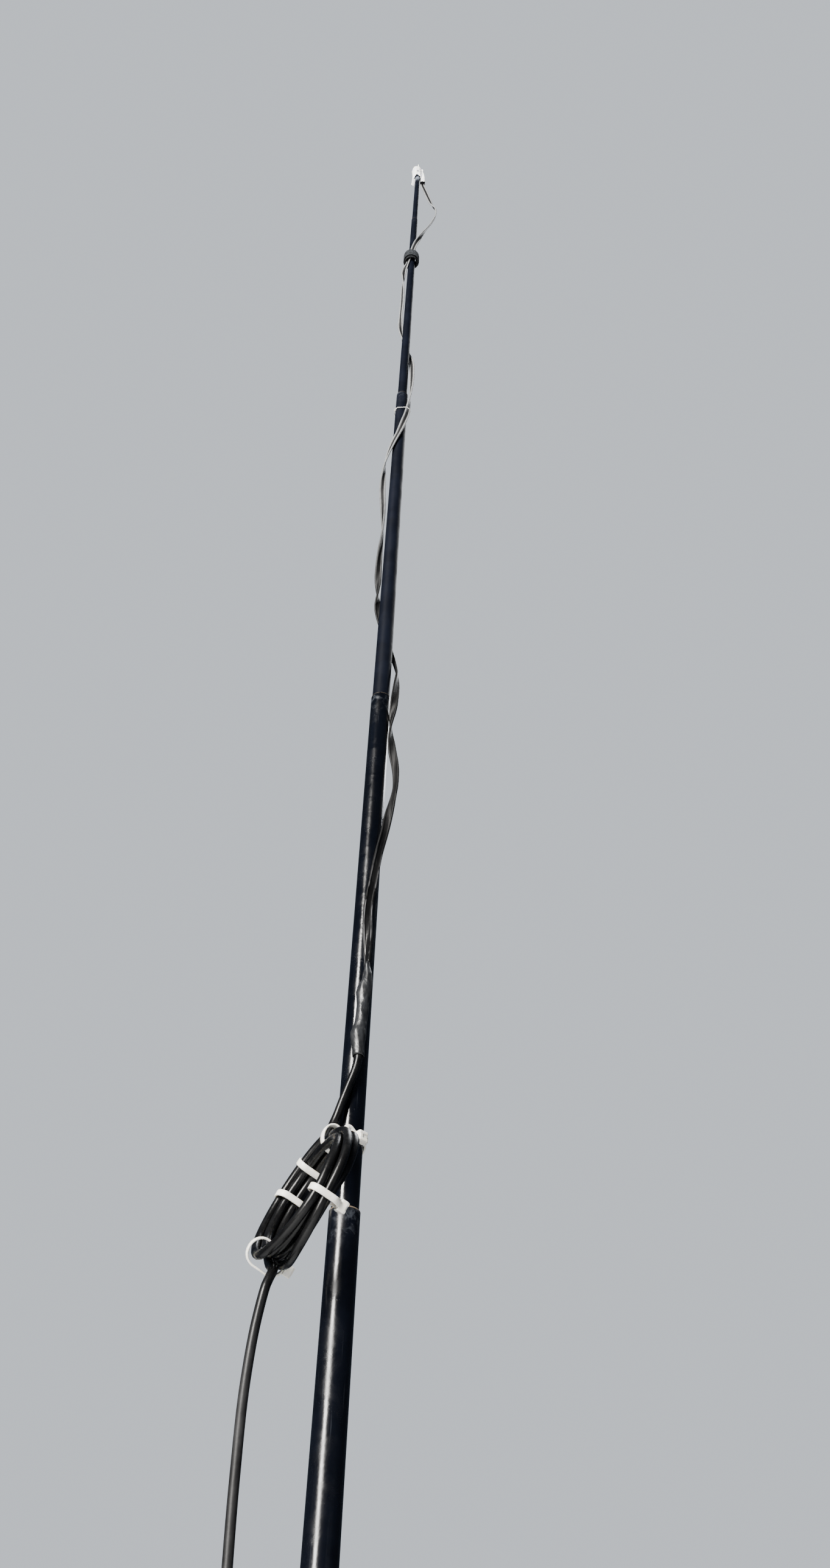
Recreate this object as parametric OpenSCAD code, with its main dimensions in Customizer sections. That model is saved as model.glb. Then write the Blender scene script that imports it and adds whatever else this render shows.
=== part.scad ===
// Telescopic glass-fibre mast that carries a twin-lead wire antenna, with its coaxial choke and feed line.
// Millimetres. +Z is up, the origin is the centre of the butt cap's flat bottom, and -Y is the front.

/* [Tube lengths] */
// Height of the butt tube's mouth above the base
show_1 = 500; // [450:10:550]
// Length of the second tube that stands out of the first
show_2 = 450; // [420:10:480]
// Length of the third tube that stands out of the second
show_3 = 450; // [420:10:480]
// Length of the fourth tube that stands out of the third
show_4 = 443; // [438:1:448]
// Length of the fifth tube that stands out of the fourth
show_5 = 417; // [412:1:422]
// Length of the sixth tube that stands out of the fifth
show_6 = 492; // [487:1:497]
// Length of the seventh tube that stands out of the sixth
show_7 = 498; // [493:1:503]
// Length of the tip tube that stands out of the seventh
show_8 = 173; // [168:1:178]
// Length of each tube that stays inside the one below it
overlap = 50; // [40:1:60]

/* [Tube diameters] */
// Outer diameter of the butt tube, parallel all the way
butt_d = 24.4; // [24:0.1:24.6]
// Wall of the four lower tubes
wall_lower = 0.85; // [0.8:0.05:0.9]
// Wall of the fifth tube
wall_5 = 0.65; // [0.6:0.05:0.7]
// Wall of the sixth tube
wall_6 = 0.95; // [0.9:0.05:1]
// Wall of the two upper tubes
wall_upper = 0.45; // [0.4:0.05:0.5]
// Diameter lost over a metre by the second, third and fourth tubes
taper_lower = 1.5; // [1.2:0.1:1.8]
// Diameter lost over a metre by the fifth tube
taper_5 = 0.6; // [0.4:0.1:0.8]
// Diameter lost over a metre by the sixth tube
taper_6 = 3.45; // [3.2:0.05:3.6]
// Diameter lost over a metre by the seventh tube
taper_7 = 3.3; // [3.1:0.05:3.5]
// Diameter lost over a metre by the tip tube
taper_8 = 4.6; // [4.2:0.1:5]
// Difference in diameter between a tube and the mouth that it jams in
jam_gap = 0.1; // [0.04:0.02:0.16]
// Chamfer on the outer edge of each mouth
mouth_chamfer = 0.2; // [0.1:0.05:0.3]

/* [Butt cap] */
// Diameter of the cap's grooved disc, a little less than the butt tube's
cap_d = 23.6; // [22:0.1:24]
// Height of the cap's grooved disc below the butt tube
cap_h = 8; // [6:0.5:12]
// Length of the cap's plug inside the butt tube
cap_plug_h = 16; // [10:1:24]
// Wall of the cap's plug
cap_plug_wall = 2.2; // [1.6:0.1:3]
// Number of finger grooves round the cap
cap_grooves = 18; // [12:1:24]
// Radius of each finger groove
cap_groove_r = 1.1; // [0.8:0.1:1.4]
// Width of the coin slot in the cap's bottom
coin_slot_w = 2.4; // [1.8:0.1:3]
// Depth of the coin slot
coin_slot_depth = 2; // [1:0.5:3]

/* [Tip] */
// Length of the tip plug's stem inside the tip tube
tip_stem = 12; // [8:1:18]
// Thickness of the white wrap over the tip
hood_t = 0.8; // [0.6:0.1:1]
// Largest outer diameter of the wrap over the tip
hood_d = 13.4; // [12:0.2:15]
// Height of the wrap above the tip tube's mouth
hood_rise = 27; // [24:1:30]
// Length of the wrap that grips the tip tube below its mouth
hood_grip = 6; // [4:1:10]
// Length of the loose flap that hangs on the left of the tip
flap_l = 24; // [20:1:28]
// Width of the flap
flap_w = 6; // [5:0.5:8]
// Width of the tab that carries the twin lead
tab_w = 5; // [4:0.5:6]

/* [Twin lead] */
// Diameter of the bead round each conductor
bead_d = 1.8; // [1.6:0.1:2]
// Distance between the two conductors
bead_pitch = 4.5; // [4.2:0.1:4.8]
// Thickness of the web between the beads
web_t = 0.8; // [0.6:0.1:1]
// Wall of the black sleeve on the twin lead's upper end
end_sleeve_wall = 0.7; // [0.5:0.1:1]
// Length of the black sleeve on the twin lead's upper end
end_sleeve_l = 10; // [8:1:12]

/* [Strap round the mast and twin lead] */
// Width of the wound hook-and-loop strap
strap_w = 21; // [18:1:25]
// Thickness of one layer of the strap
strap_t = 1.5; // [1.3:0.05:1.7]
// Number of times that the strap goes round
strap_turns = 2.1; // [1.7:0.1:2.4]
// Gap between two layers of the strap
strap_gap = 0.12; // [0.08:0.02:0.2]
// Diameter of the white thread that ties the twin lead lower down
thread_d = 1; // [0.8:0.1:1.2]

/* [Feed point] */
// Length of the shrink tubing over the feed point
feed_l = 66; // [62:1:70]
// Diameter of the shrink tubing at its lower end
feed_d = 7; // [6.4:0.1:7.4]
// Largest diameter of the shrink tubing, over the solder joints
feed_bulge_d = 9.2; // [8.6:0.1:9.6]

/* [Coaxial cable] */
// Outer diameter of the coaxial cable
coax_d = 5; // [4.8:0.1:5.2]
// Half the height of the choke coil's oval, at the middle of its turns
choke_high = 37.8; // [36:0.2:39]
// Half the width of the choke coil's oval, at the middle of its turns
choke_wide = 33.5; // [32:0.5:35]
// Width of the choke coil's bundle of turns, three cables side by side
choke_w = 15.4; // [14.8:0.2:16]
// Width that the bundle loses at the top, where the tie to the mast gathers it
choke_pinch = 5.2; // [4.8:0.1:5.4]
// Width that the bundle gains at the bottom, where its turns fan out
choke_fan = 3; // [0:0.5:4]
// Thickness of the choke coil's bundle of turns, two cables deep
choke_t = 9.6; // [9.2:0.1:10]
// Radius of the stored coil at the middle of its turns
store_r = 29; // [27:0.5:31]
// Width of the stored coil's winding
store_w = 20.2; // [19:0.2:22]
// Height of the stored coil's winding
store_h = 14; // [13:0.5:16]

/* [Cable ties] */
// Width of a cable tie
tie_w = 3.6; // [3:0.1:4.2]
// Thickness of a cable tie
tie_t = 1.1; // [0.9:0.1:1.3]
// Width and length of a cable tie's head
head_w = 6.2; // [5.6:0.1:6.8]
// Height of a cable tie's head
head_h = 4.6; // [4:0.1:5.2]
// Length of a cut tie end past its head
tail_l = 4; // [2:0.5:6]

/* [Plug] */
// Diameter of the plug's body
plug_d = 11; // [10:0.2:12]
// Length of the plug's body
plug_l = 13; // [11:0.5:16]
// Diameter of the plug's turning collar
collar_d = 14.5; // [14:0.1:15]
// Length of the plug's turning collar
collar_l = 13; // [11:0.5:15]
// Length of the rubber boot behind the plug
boot_l = 22; // [20:1:30]

/* [Hidden] */
$fn = 48;

// Running and seating clearances
seat = 0.1;
snug = 0.3;

// Colours
glass_fibre = [0.06, 0.07, 0.09];
black_plastic = [0.10, 0.10, 0.11];
black_rubber = [0.08, 0.08, 0.08];
white_wrap = [0.92, 0.93, 0.94];
white_nylon = [0.90, 0.89, 0.83];
strap_grey = [0.35, 0.36, 0.37];
nickel = [0.74, 0.74, 0.72];
gold = [0.83, 0.68, 0.33];

// The tubes, from the butt upwards
shows = [show_1, show_2, show_3, show_4, show_5, show_6, show_7, show_8];
walls = [wall_lower, wall_lower, wall_lower, wall_lower, wall_5, wall_6, wall_upper, wall_upper];
tapers = [0, taper_lower, taper_lower, taper_lower, taper_5, taper_6, taper_7, taper_8] / 1000;
tip = len(shows) - 1;

// Height of tube i's mouth
function mouth_z(i) = i < 0 ? 0 : mouth_z(i - 1) + shows[i];
// Outer diameter of tube i where it leaves the mouth below it
function root_d(i) = i == 0 ? butt_d : mouth_d(i - 1) - 2 * walls[i - 1] - jam_gap;
// Outer diameter of tube i at its own mouth
function mouth_d(i) = root_d(i) - tapers[i] * shows[i];
// Outer radius of tube i at height z
function tube_r(i, z) = (mouth_d(i) + tapers[i] * (mouth_z(i) - z)) / 2;
// Outer radius of the mast at height z, above the tube whose mouth is below it
function mast_r(z, i = 0) = i == tip || z < mouth_z(i) ? tube_r(i, z) : mast_r(z, i + 1);

// The fourth tube's mouth, from which the feed point and the choke are placed
rig = 3;
rig_z = mouth_z(rig);
// Point off the mast's surface, by its gap from it, its angle round the mast and its height
function off_mast(gap, angle, z) = let (r = mast_r(z) + gap) [r * cos(angle), r * sin(angle), z];

// Points on curves
function unit(v) = v / norm(v);
function along(p, i) = unit(p[min(i + 1, len(p) - 1)] - p[max(i - 1, 0)]);
function place(p) = [p[0], p[1], p[2]];
function ramp(p0, p1, p2, p3, t) =
    (2 * p1 + (p2 - p0) * t + (2 * p0 - 5 * p1 + 4 * p2 - p3) * t * t
        + (3 * p1 - p0 - 3 * p2 + p3) * t * t * t) / 2;
// A smooth run through the points of a route, with n steps between two of them
function smooth(p, n) = [
    for (i = [0 : len(p) - 2], k = [0 : n - 1])
        ramp(p[max(i - 1, 0)], p[i], p[i + 1], p[min(i + 2, len(p) - 1)], k / n),
    p[len(p) - 1]
];
// Side directions carried along a curve without twist
function carried(p, side, i = 0) = i == len(p) ? []
    : let (t = along(p, i), s = unit(side - (side * t) * t)) concat([s], carried(p, s, i + 1));

// Outline of a rectangle with round corners
function rounded(w, h, r) = [
    for (q = [0 : 3], a = [0 : 22.5 : 90])
        let (sx = q == 0 || q == 3 ? 1 : -1, sy = q < 2 ? 1 : -1)
            [sx * (w / 2 - r) + r * cos(90 * q + a), sy * (h / 2 - r) + r * sin(90 * q + a)]
];

// Triangles that join rings of n points into one closed skin
function skin(rings, n) = concat(
    [[for (k = [0 : n - 1]) k]],
    [for (i = [0 : rings - 2], k = [0 : n - 1])
        [i * n + k, (i + 1) * n + k, (i + 1) * n + (k + 1) % n]],
    [for (i = [0 : rings - 2], k = [0 : n - 1])
        [i * n + k, (i + 1) * n + (k + 1) % n, i * n + (k + 1) % n]],
    [[for (k = [n - 1 : -1 : 0]) (rings - 1) * n + k]]
);

// The same for rings that close into a loop
function ring_skin(rings, n) = [
    for (i = [0 : rings - 1], k = [0 : n - 1])
        let (a = i * n, b = (i + 1) % rings * n, m = (k + 1) % n)
            each [[a + k, b + k, b + m], [a + k, b + m, a + m]]
];

// A round cord along the points p
module cord(p, d, sides, side = [1, 0, 0]) {
    s = carried(p, side);
    pts = [for (i = [0 : len(p) - 1], k = [0 : sides - 1])
        let (t = along(p, i), b = cross(t, s[i]), a = 360 * k / sides)
            p[i] + d / 2 * (cos(a) * s[i] + sin(a) * b)];
    polyhedron(points = pts, faces = skin(len(p), sides), convexity = 8);
}

// Tube i of the mast: its foot is tapered to fit the mouth that it is jammed in
module mast_tube(i) {
    top = mouth_z(i);
    low = i == 0 ? cap_h : mouth_z(i - 1);
    foot = i == 0 ? cap_h : low - overlap;
    foot_r = i == 0 ? butt_d / 2 : (root_d(i) + tapers[i - 1] * overlap) / 2;
    low_r = root_d(i) / 2;
    top_r = mouth_d(i) / 2;
    t = walls[i];
    rotate_extrude()
        polygon(i == 0
            ? [[foot_r - t, foot], [foot_r, foot], [top_r, top - mouth_chamfer],
                [top_r - mouth_chamfer, top], [top_r - t, top]]
            : [[foot_r - t, foot], [foot_r, foot], [low_r, low], [top_r, top - mouth_chamfer],
                [top_r - mouth_chamfer, top], [top_r - t, top], [low_r - t, low]]);
}

// Butt cap: a disc with finger grooves, a hollow plug and a coin slot
cap_plug_r = butt_d / 2 - wall_lower - jam_gap / 2;
module butt_cap() {
    color(black_plastic)
        difference() {
            union() {
                cylinder(d = cap_d, h = cap_h);
                cylinder(r = cap_plug_r, h = cap_h + cap_plug_h);
            }
            translate([0, 0, cap_h / 2])
                cylinder(r = cap_plug_r - cap_plug_wall, h = cap_h + cap_plug_h);
            for (k = [0 : cap_grooves - 1])
                rotate([0, 0, 360 * k / cap_grooves])
                    translate([cap_d / 2 + cap_groove_r / 2, 0, cap_h / 4])
                        cylinder(r = cap_groove_r, h = cap_h / 2);
            translate([-cap_plug_r, -coin_slot_w / 2, -1])
                cube([2 * cap_plug_r, coin_slot_w, coin_slot_depth + 1]);
        }
}

module butt_tube() color(glass_fibre) mast_tube(0);
module second_tube() color(glass_fibre) mast_tube(1);
module third_tube() color(glass_fibre) mast_tube(2);
module fourth_tube() color(glass_fibre) mast_tube(3);
module fifth_tube() color(glass_fibre) mast_tube(4);
module sixth_tube() color(glass_fibre) mast_tube(5);
module seventh_tube() color(glass_fibre) mast_tube(6);
module tip_tube() color(glass_fibre) mast_tube(tip);

// Round-headed plug in the mouth of the tip tube
tip_z = mouth_z(tip);
tip_r = mouth_d(tip) / 2;
module tip_plug() {
    color(black_plastic) {
        translate([0, 0, tip_z - tip_stem])
            cylinder(r = tip_r - wall_upper - jam_gap / 2, h = tip_stem + 1);
        translate([0, 0, tip_z + jam_gap])
            intersection() {
                sphere(r = tip_r);
                cylinder(r = tip_r + 1, h = tip_r + 1);
            }
    }
}

// White wrap over the tip: a hollow bulb that grips the tube, open in front, with a flap and a twisted end
hood_r = hood_d / 2;
hood_mouth_r = tube_r(tip, tip_z - hood_grip) + seat;
hood_shoulder_z = tip_z + hood_rise - hood_r;
flap_x = -hood_mouth_r - hood_t / 2;
spike_h = 4;
module bulb(grow) {
    low = tip_z - hood_grip - (grow > 0 ? 0 : 1);
    rotate_extrude()
        polygon(concat(
            [[0, low], [hood_mouth_r + grow, low],
                [hood_mouth_r + grow, tip_z],
                [hood_r - hood_t + grow, tip_z + hood_rise / 3]],
            [for (a = [0 : 15 : 90])
                [(hood_r - hood_t + grow) * cos(a), hood_shoulder_z + (hood_r - hood_t + grow) * sin(a)]]));
}
// The flap's bends: how far it stands off to the left, its shift, and its height below the tube's mouth
flap_ends = [[0, 0, hood_grip - 1], [1.5, 0, hood_grip + flap_l / 2], [4, 1, flap_l]];
module flap_end(s) {
    translate([flap_x - s[0], s[1], tip_z - s[2]])
        cube([hood_t, flap_w - s[1], 1], center = true);
}
module tip_wrap() {
    color(white_wrap) {
        difference() {
            bulb(hood_t);
            bulb(0);
            translate([0, -hood_r, tip_z - hood_grip])
                rotate([0, 90, 0])
                    cylinder(r = hood_grip + 2, h = hood_d, center = true);
        }
        translate([0, 0, tip_z + hood_rise - hood_t / 2])
            cylinder(r1 = hood_t, r2 = hood_t / 3, h = spike_h);
        for (i = [0, 1])
            hull() {
                flap_end(flap_ends[i]);
                flap_end(flap_ends[i + 1]);
            }
    }
}

// Ends of the shrink tubing over the feed point
feed_z = rig_z + 89;
feed_top_z = feed_z + feed_l;

// Runs of the twin lead on each tube, from the tip downwards. A point has the gap between the mast and a
// bead, the angle round the mast, the height on the tube in percent of the run, and the width's heading.
tip_run = [
    [4.2, -22, 75.5, 0], [4.3, -22, 71.5, 0], [5.6, -21, 67, 0], [7.8, -18, 60, 0], [12, -15, 46, 6],
    [15.6, -13, 34.5, 15], [18.2, -12, 26, 40], [23.6, -12, 15.5, 75], [24.4, -12, 4, 100]
];
seventh_run = [
    [19.5, -16, 95.5, 110], [12.5, -25, 89.5, 112], [5.8, -42, 83.8, 60], [2, -66, 79.5, 10],
    [0.3, -92, 75.5, -5], [0.1, -122, 72.6, -32], [0.5, -142, 69.8, -45], [3, -166, 66, -5],
    [3.8, -176, 60, 75], [3.2, -177, 54, 125], [2.6, -177, 46, 136], [2.8, -181, 38, 140],
    [2.2, -204, 32.5, 215], [3, -240, 29, 272], [2.2, -284, 23, 320], [2.4, -333, 17.5, 345],
    [3, -354, 11.5, 345], [3.4, -366, 5, 312]
];
sixth_run = [
    [1.9, -374, 98.5, 275], [1.1, -381, 94.5, 240], [0.7, -396, 90.5, 216], [0.6, -423, 86.3, 192],
    [0.5, -452, 82, 162], [1.6, -492, 77.5, 150], [3.2, -516, 74.3, 128], [5.4, -530, 70, 90],
    [5.6, -538, 66.5, 42], [5.6, -540, 63, 5], [3.4, -540, 55, -40], [1.9, -540, 47.5, -90],
    [2.9, -546, 40.5, -132], [3.2, -556, 34.5, -175], [2.6, -565, 28.9, -268], [3.2, -580, 25.2, -350],
    [2, -612, 20.5, -380], [2.2, -651, 15, -420], [3.2, -684, 10.5, -445], [4.1, -710, 6.5, -460],
    [4, -720, 4, -490]
];
fifth_run = [
    [3.3, -745, 96, -540], [1, -730, 87, -630], [2.4, -729, 79, -705], [6.4, -728, 68.5, -762],
    [7, -732, 62.6, -775], [5.6, -739, 56, -760], [4, -745, 50.4, -722], [2.5, -751, 44.5, -692],
    [0.6, -768, 36, -688], [0.4, -784, 27.5, -700], [0.5, -799, 16, -712], [2, -794, 8, -742],
    [2.9, -790, 0, -790]
];
// Height at a share of the lead's run on tube i, from the run's lower end to the tube's mouth
function run_z(i, share) =
    let (low = i == rig + 1 ? feed_top_z + snug : mouth_z(i - 1)) low + (mouth_z(i) - low) * share / 100;
function laid(i, run) =
    [for (p = run) concat(off_mast(p[0] + bead_d / 2, p[1], run_z(i, p[2])), [p[3]])];
// Route of the twin lead: x, y, z and the heading of its width
lead_route = concat(laid(tip, tip_run), laid(6, seventh_run), laid(5, sixth_run), laid(4, fifth_run));

// White tab from the wrap down to the upper end of the twin lead: a flat strip, and a foot on the lead
lead_top = place(lead_route[0]);
lead_end = place(lead_route[len(lead_route) - 1]);
tab_root = [hood_r + hood_t / 2 + seat, -1, tip_z + hood_rise / 3];
tab_end_h = 6;
tab_foot_h = 1;
module tip_tab() {
    color(white_wrap) {
        hull() {
            translate(tab_root)
                cube([hood_t, tab_w, tab_end_h], center = true);
            translate(lead_top + [0, 0, end_sleeve_l / 2 + tab_foot_h / 2 + tab_end_h / 2])
                cube([hood_t, tab_w, tab_end_h], center = true);
        }
        translate(lead_top + [0, 0, end_sleeve_l / 2 + tab_foot_h / 2])
            cube([bead_pitch + bead_d, bead_d, tab_foot_h], center = true);
    }
}

// Black sleeve shrunk on the upper end of the twin lead
module lead_end_sleeve() {
    color(black_rubber)
        translate([lead_top[0], lead_top[1], lead_top[2] - end_sleeve_l / 2])
            difference() {
                linear_extrude(end_sleeve_l)
                    lead_outline(end_sleeve_wall);
                translate([0, 0, -1])
                    linear_extrude(end_sleeve_l / 2 + 1 + seat)
                        lead_outline(snug);
            }
}
module lead_outline(grow) {
    hull() {
        for (x = [-1, 1] * bead_pitch / 2)
            translate([x, 0])
                circle(r = bead_d / 2 + grow, $fn = 24);
    }
}

// Cross-section of the twin lead: two beads joined by a web, x across the width
web_end = bead_pitch / 2 - bead_d / 2;
lead_half = concat(
    [[web_end, -web_t / 2]],
    [for (a = [-120 : 60 : 120]) [bead_pitch / 2 + bead_d / 2 * cos(a), bead_d / 2 * sin(a)]],
    [[web_end, web_t / 2]]
);
lead_section = concat(lead_half, [for (p = lead_half) -p]);
module twin_lead() {
    fine = smooth(lead_route, 3);
    path = [for (p = fine) place(p)];
    n = len(lead_section);
    pts = [for (i = [0 : len(path) - 1], c = lead_section)
        let (t = along(path, i), a = fine[i][3], w0 = [cos(a), sin(a), 0],
            w = unit(w0 - (w0 * t) * t), f = cross(t, w))
            path[i] + c[0] * w + c[1] * f];
    color(black_rubber)
        polyhedron(points = pts, faces = skin(len(path), n), convexity = 10);
}

// Strap wound round the mast and the twin lead, off centre by strap_room because the twin lead lies
// beneath it
strap_z = run_z(6, 70.3);
strap_heading = -131;
strap_room = 1.5;
strap_bore_r = mast_r(strap_z) + strap_room + seat;
strap_steps = 24;
module wound_strap() {
    n = round(strap_steps * strap_turns);
    pitch = strap_t + strap_gap;
    start = strap_heading + 180;
    inner = [for (k = [0 : n])
        let (a = start + 360 * k / strap_steps, r = strap_bore_r + pitch * k / strap_steps)
            [r * cos(a), r * sin(a)]];
    outer = [for (k = [n : -1 : 0])
        let (a = start + 360 * k / strap_steps, r = strap_bore_r + strap_t + pitch * k / strap_steps)
            [r * cos(a), r * sin(a)]];
    color(strap_grey)
        translate([strap_room * cos(strap_heading), strap_room * sin(strap_heading), strap_z])
            linear_extrude(strap_w)
                polygon(concat(inner, outer));
}

// Thin white thread round the mast and the twin lead
thread_z = run_z(5, 92.4);
thread_heading = -28;
thread_shift = bead_d;
thread_r = mast_r(thread_z) + thread_shift + seat + thread_d / 2;
module lead_thread() {
    color(white_nylon)
        rotate([0, 0, thread_heading])
            translate([thread_shift, 0, thread_z]) {
                rotate_extrude()
                    translate([thread_r, 0])
                        circle(d = thread_d, $fn = 16);
                translate([thread_r, 0, 0])
                    sphere(d = thread_d * 1.7, $fn = 24);
            }
}

// Shrink tubing over the solder joints between the twin lead and the coaxial cable. It has round stations,
// each with its share of the length, its shift to the right, its y and its diameter, and ends in a flat oval.
feed_x = 2;
feed_bottom = [feed_x, -(mast_r(feed_z) + feed_d / 2 + seat), feed_z];
feed_bulge_y = -(mast_r(feed_z) + feed_bulge_d / 2 + seat);
feed_stations = [
    [0, 0, feed_bottom[1], feed_d], [0.2, 0, feed_bottom[1], feed_d],
    [0.4, -0.4, feed_bulge_y, feed_bulge_d], [0.66, 0.6, feed_bulge_y + 0.6, feed_d]
];
feed_top_w = 3.4;
feed_top_depth = bead_pitch + bead_d + 1;
feed_disc = 0.4;
feed_socket = 4;
module feed_station(i) {
    s = feed_stations[i];
    translate([feed_x + s[1], s[2], feed_z + feed_l * s[0]])
        cylinder(d = s[3], h = feed_disc, $fn = 24);
}
module feed_end() {
    translate([lead_end[0], lead_end[1], feed_top_z - feed_disc])
        linear_extrude(feed_disc)
            resize([feed_top_w, feed_top_depth])
                circle(d = feed_top_w, $fn = 24);
}
module feed_sleeve() {
    last = len(feed_stations) - 1;
    color(black_rubber)
        difference() {
            union() {
                for (i = [0 : last - 1])
                    hull() {
                        feed_station(i);
                        feed_station(i + 1);
                    }
                hull() {
                    feed_station(last);
                    feed_end();
                }
            }
            translate(feed_bottom - [0, 0, 1])
                cylinder(d = coax_d + 2 * seat, h = feed_socket + 1, $fn = 24);
        }
}

// The choke coil hangs from the mast in a leaning plane, as an oval of which choke_centre is the middle.
// An angle on it runs from the top, over the far side, to the bottom.
choke_lean = 18.7;
choke_heading = 120;
choke_far = [cos(choke_heading), sin(choke_heading), 0];
choke_side = [-sin(choke_heading), cos(choke_heading), 0];
choke_up = cos(choke_lean) * [0, 0, 1] - sin(choke_lean) * choke_side;
choke_axis = cross(choke_up, choke_far);
choke_centre = [-18.9, -17.6, rig_z + 2.3];
pinch_at = 9;
function choke_point(a) =
    choke_centre + choke_high * cos(a) * choke_up + choke_wide * sin(a) * choke_far;
function choke_out(a) = unit(cos(a) / choke_high * choke_up + sin(a) / choke_wide * choke_far);
function bundle_w(a) =
    choke_w - choke_pinch * pow(max(0, cos(a - pinch_at)), 6) + choke_fan * pow(max(0, -cos(a)), 6);
module on_choke(angle) {
    translate(choke_centre)
        rotate([choke_lean, 0, choke_heading])
            translate([choke_wide * sin(angle), 0, choke_high * cos(angle)])
                rotate([0, atan2(sin(angle) / choke_wide, cos(angle) / choke_high) + 90, 0])
                    children();
}
choke_steps = 60;
module choke_coil() {
    section = rounded(choke_t, choke_t, choke_t / 2 - seat);
    n = len(section);
    pts = [for (i = [0 : choke_steps - 1], c = section)
        let (a = 360 * i / choke_steps, spread = (bundle_w(a) - choke_t) / 2 * (c[1] > 0 ? 1 : -1))
            choke_point(a) + c[0] * choke_out(a) + (c[1] + spread) * choke_axis];
    color(black_rubber)
        polyhedron(points = pts, faces = ring_skin(choke_steps, n), convexity = 6);
}

// Route of the coaxial cable from the feed sleeve, where its points are measured from the sleeve's lower end,
// to the choke coil, on whose outside it lies
on_bundle = choke_t / 2 + coax_d / 2 + seat;
lead_to = 18;
lead_side = 22;
lead_in_start = [
    [0, 0, 3.9], [0, 0, -2], [-1.2, 0.1, -9], [-3.9, 0.4, -18], [-7.2, 0.9, -29], [-10.6, 2.2, -40]
];
lead_in_route = concat(
    [for (p = lead_in_start) feed_bottom + p],
    [choke_point(lead_to)
        + on_bundle * (cos(lead_side) * choke_out(lead_to) + sin(lead_side) * choke_axis)]
);
module coax_lead() {
    color(black_rubber)
        cord(smooth(lead_in_route, 2), coax_d, 10);
}

// Head of a cable tie, on the outside of its band: a bevelled block with a window at its pawl, and the cut
// end of the band that comes out of it. The band runs along Y and the outside is at +X.
head_bevel = 0.9;
module tie_head(tail) {
    side = head_w / 2;
    difference() {
        translate([0, 0, -side])
            linear_extrude(head_w)
                polygon([
                    [0, -side], [head_h - head_bevel, -side], [head_h, head_bevel - side],
                    [head_h, side - head_bevel], [head_h - head_bevel, side], [0, side]
                ]);
        translate([head_h - head_bevel, -side / 2, -tie_w / 3])
            cube([head_bevel + 1, side, tie_w * 2 / 3]);
    }
    translate([tie_t, side - 0.5, -tie_w / 2])
        cube([tie_t, tail + 0.5, tie_w]);
}
// Band of a cable tie round the choke coil's bundle, which runs along Z here
module tie_band(w, slack) {
    hole = [choke_t, w] + 2 * (2 * seat + slack) * [1, 1];
    linear_extrude(tie_w, center = true)
        difference() {
            polygon(rounded(hole[0] + 2 * tie_t, hole[1] + 2 * tie_t, choke_t / 2 + tie_t - seat));
            polygon(rounded(hole[0], hole[1], choke_t / 2 - seat));
        }
}
// A cable tie with its head on the coil's outside, as on the far side of the choke
module far_tie(w) {
    color(white_nylon) {
        tie_band(w, 0);
        translate([-choke_t / 2 - 2 * seat - tie_t / 2, 1, 0])
            rotate([0, 0, 180])
                tie_head(tail_l);
    }
}
// A cable tie with its head beside the coil, towards the mast
module side_tie(w, slack) {
    color(white_nylon) {
        tie_band(w, slack);
        translate([0, -w / 2 - 2 * seat - slack - tie_t / 2, 0])
            rotate([0, 0, -90])
                tie_head(tail_l);
    }
}
bottom_slack = 1.6;
module choke_tie_far_upper() on_choke(43) far_tie(choke_w);
module choke_tie_far_lower() on_choke(75) far_tie(choke_w);
module choke_tie_near() on_choke(-116) side_tie(choke_w, 0);
// The bottom tie was never pulled tight, so it hangs from the bundle
bottom_tie_at = 152;
module choke_tie_bottom()
    on_choke(bottom_tie_at)
        translate([-bottom_slack, 0, 0])
            side_tie(bundle_w(bottom_tie_at), bottom_slack);

// The top tie holds the choke coil to the mast: its band leaves the head, goes over the bundle and round it,
// and comes back behind the mast. Its points off the mast have a gap, an angle and a height over rig_z.
// Every point of the route is followed by the direction that the band's outside faces there.
tie_out = [[1.2, -60, 40], [1.6, -78, 42], [3.4, -93, 43.8]];
tie_back = [
    [3.4, 216, 28.5], [1.2, 190, 30.2], [1.2, 140, 32.5], [1.2, 96, 35], [1.2, 54, 37], [1.2, 15, 39],
    [1.2, -12, 40], [1.2, -36, 40]
];
tie_held = -5;
tie_round_r = choke_t / 2 + tie_t / 2 + seat + 2 * snug;
tie_round = [for (a = [110, 70, 30, -10, -50, -90])
    let (out = cos(a) * choke_axis + sin(a) * choke_out(tie_held),
        end = (bundle_w(tie_held) - choke_t) / 2 * (a > 90 ? -1 : 1))
        concat(choke_point(tie_held) + end * choke_axis + tie_round_r * out, out)];
function rigged(points) =
    [for (p = points) concat(off_mast(p[0], p[1], rig_z + p[2]), [cos(p[1]), sin(p[1]), 0])];
top_tie_route = concat(rigged(tie_out), tie_round, rigged(tie_back));
top_head_at = -48;
module choke_tie_top() {
    fine = smooth(top_tie_route, 3);
    path = [for (p = fine) place(p)];
    pts = [for (i = [0 : len(path) - 1], c = [[-1, -1], [1, -1], [1, 1], [-1, 1]])
        let (t = along(path, i), out0 = [fine[i][3], fine[i][4], fine[i][5]],
            out = unit(out0 - (out0 * t) * t))
            path[i] + c[0] * tie_t / 2 * out + c[1] * tie_w / 2 * cross(t, out)];
    color(white_nylon) {
        polyhedron(points = pts, faces = skin(len(path), 4), convexity = 6);
        translate(off_mast(seat, top_head_at, rig_z + 40))
            rotate([0, 0, top_head_at])
                tie_head(tail_l / 2);
    }
}

// Neat coil of the spare cable on the ground
store_centre = [-71, 0, seat + tie_t];
store_top = store_centre[2] + store_h;

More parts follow.
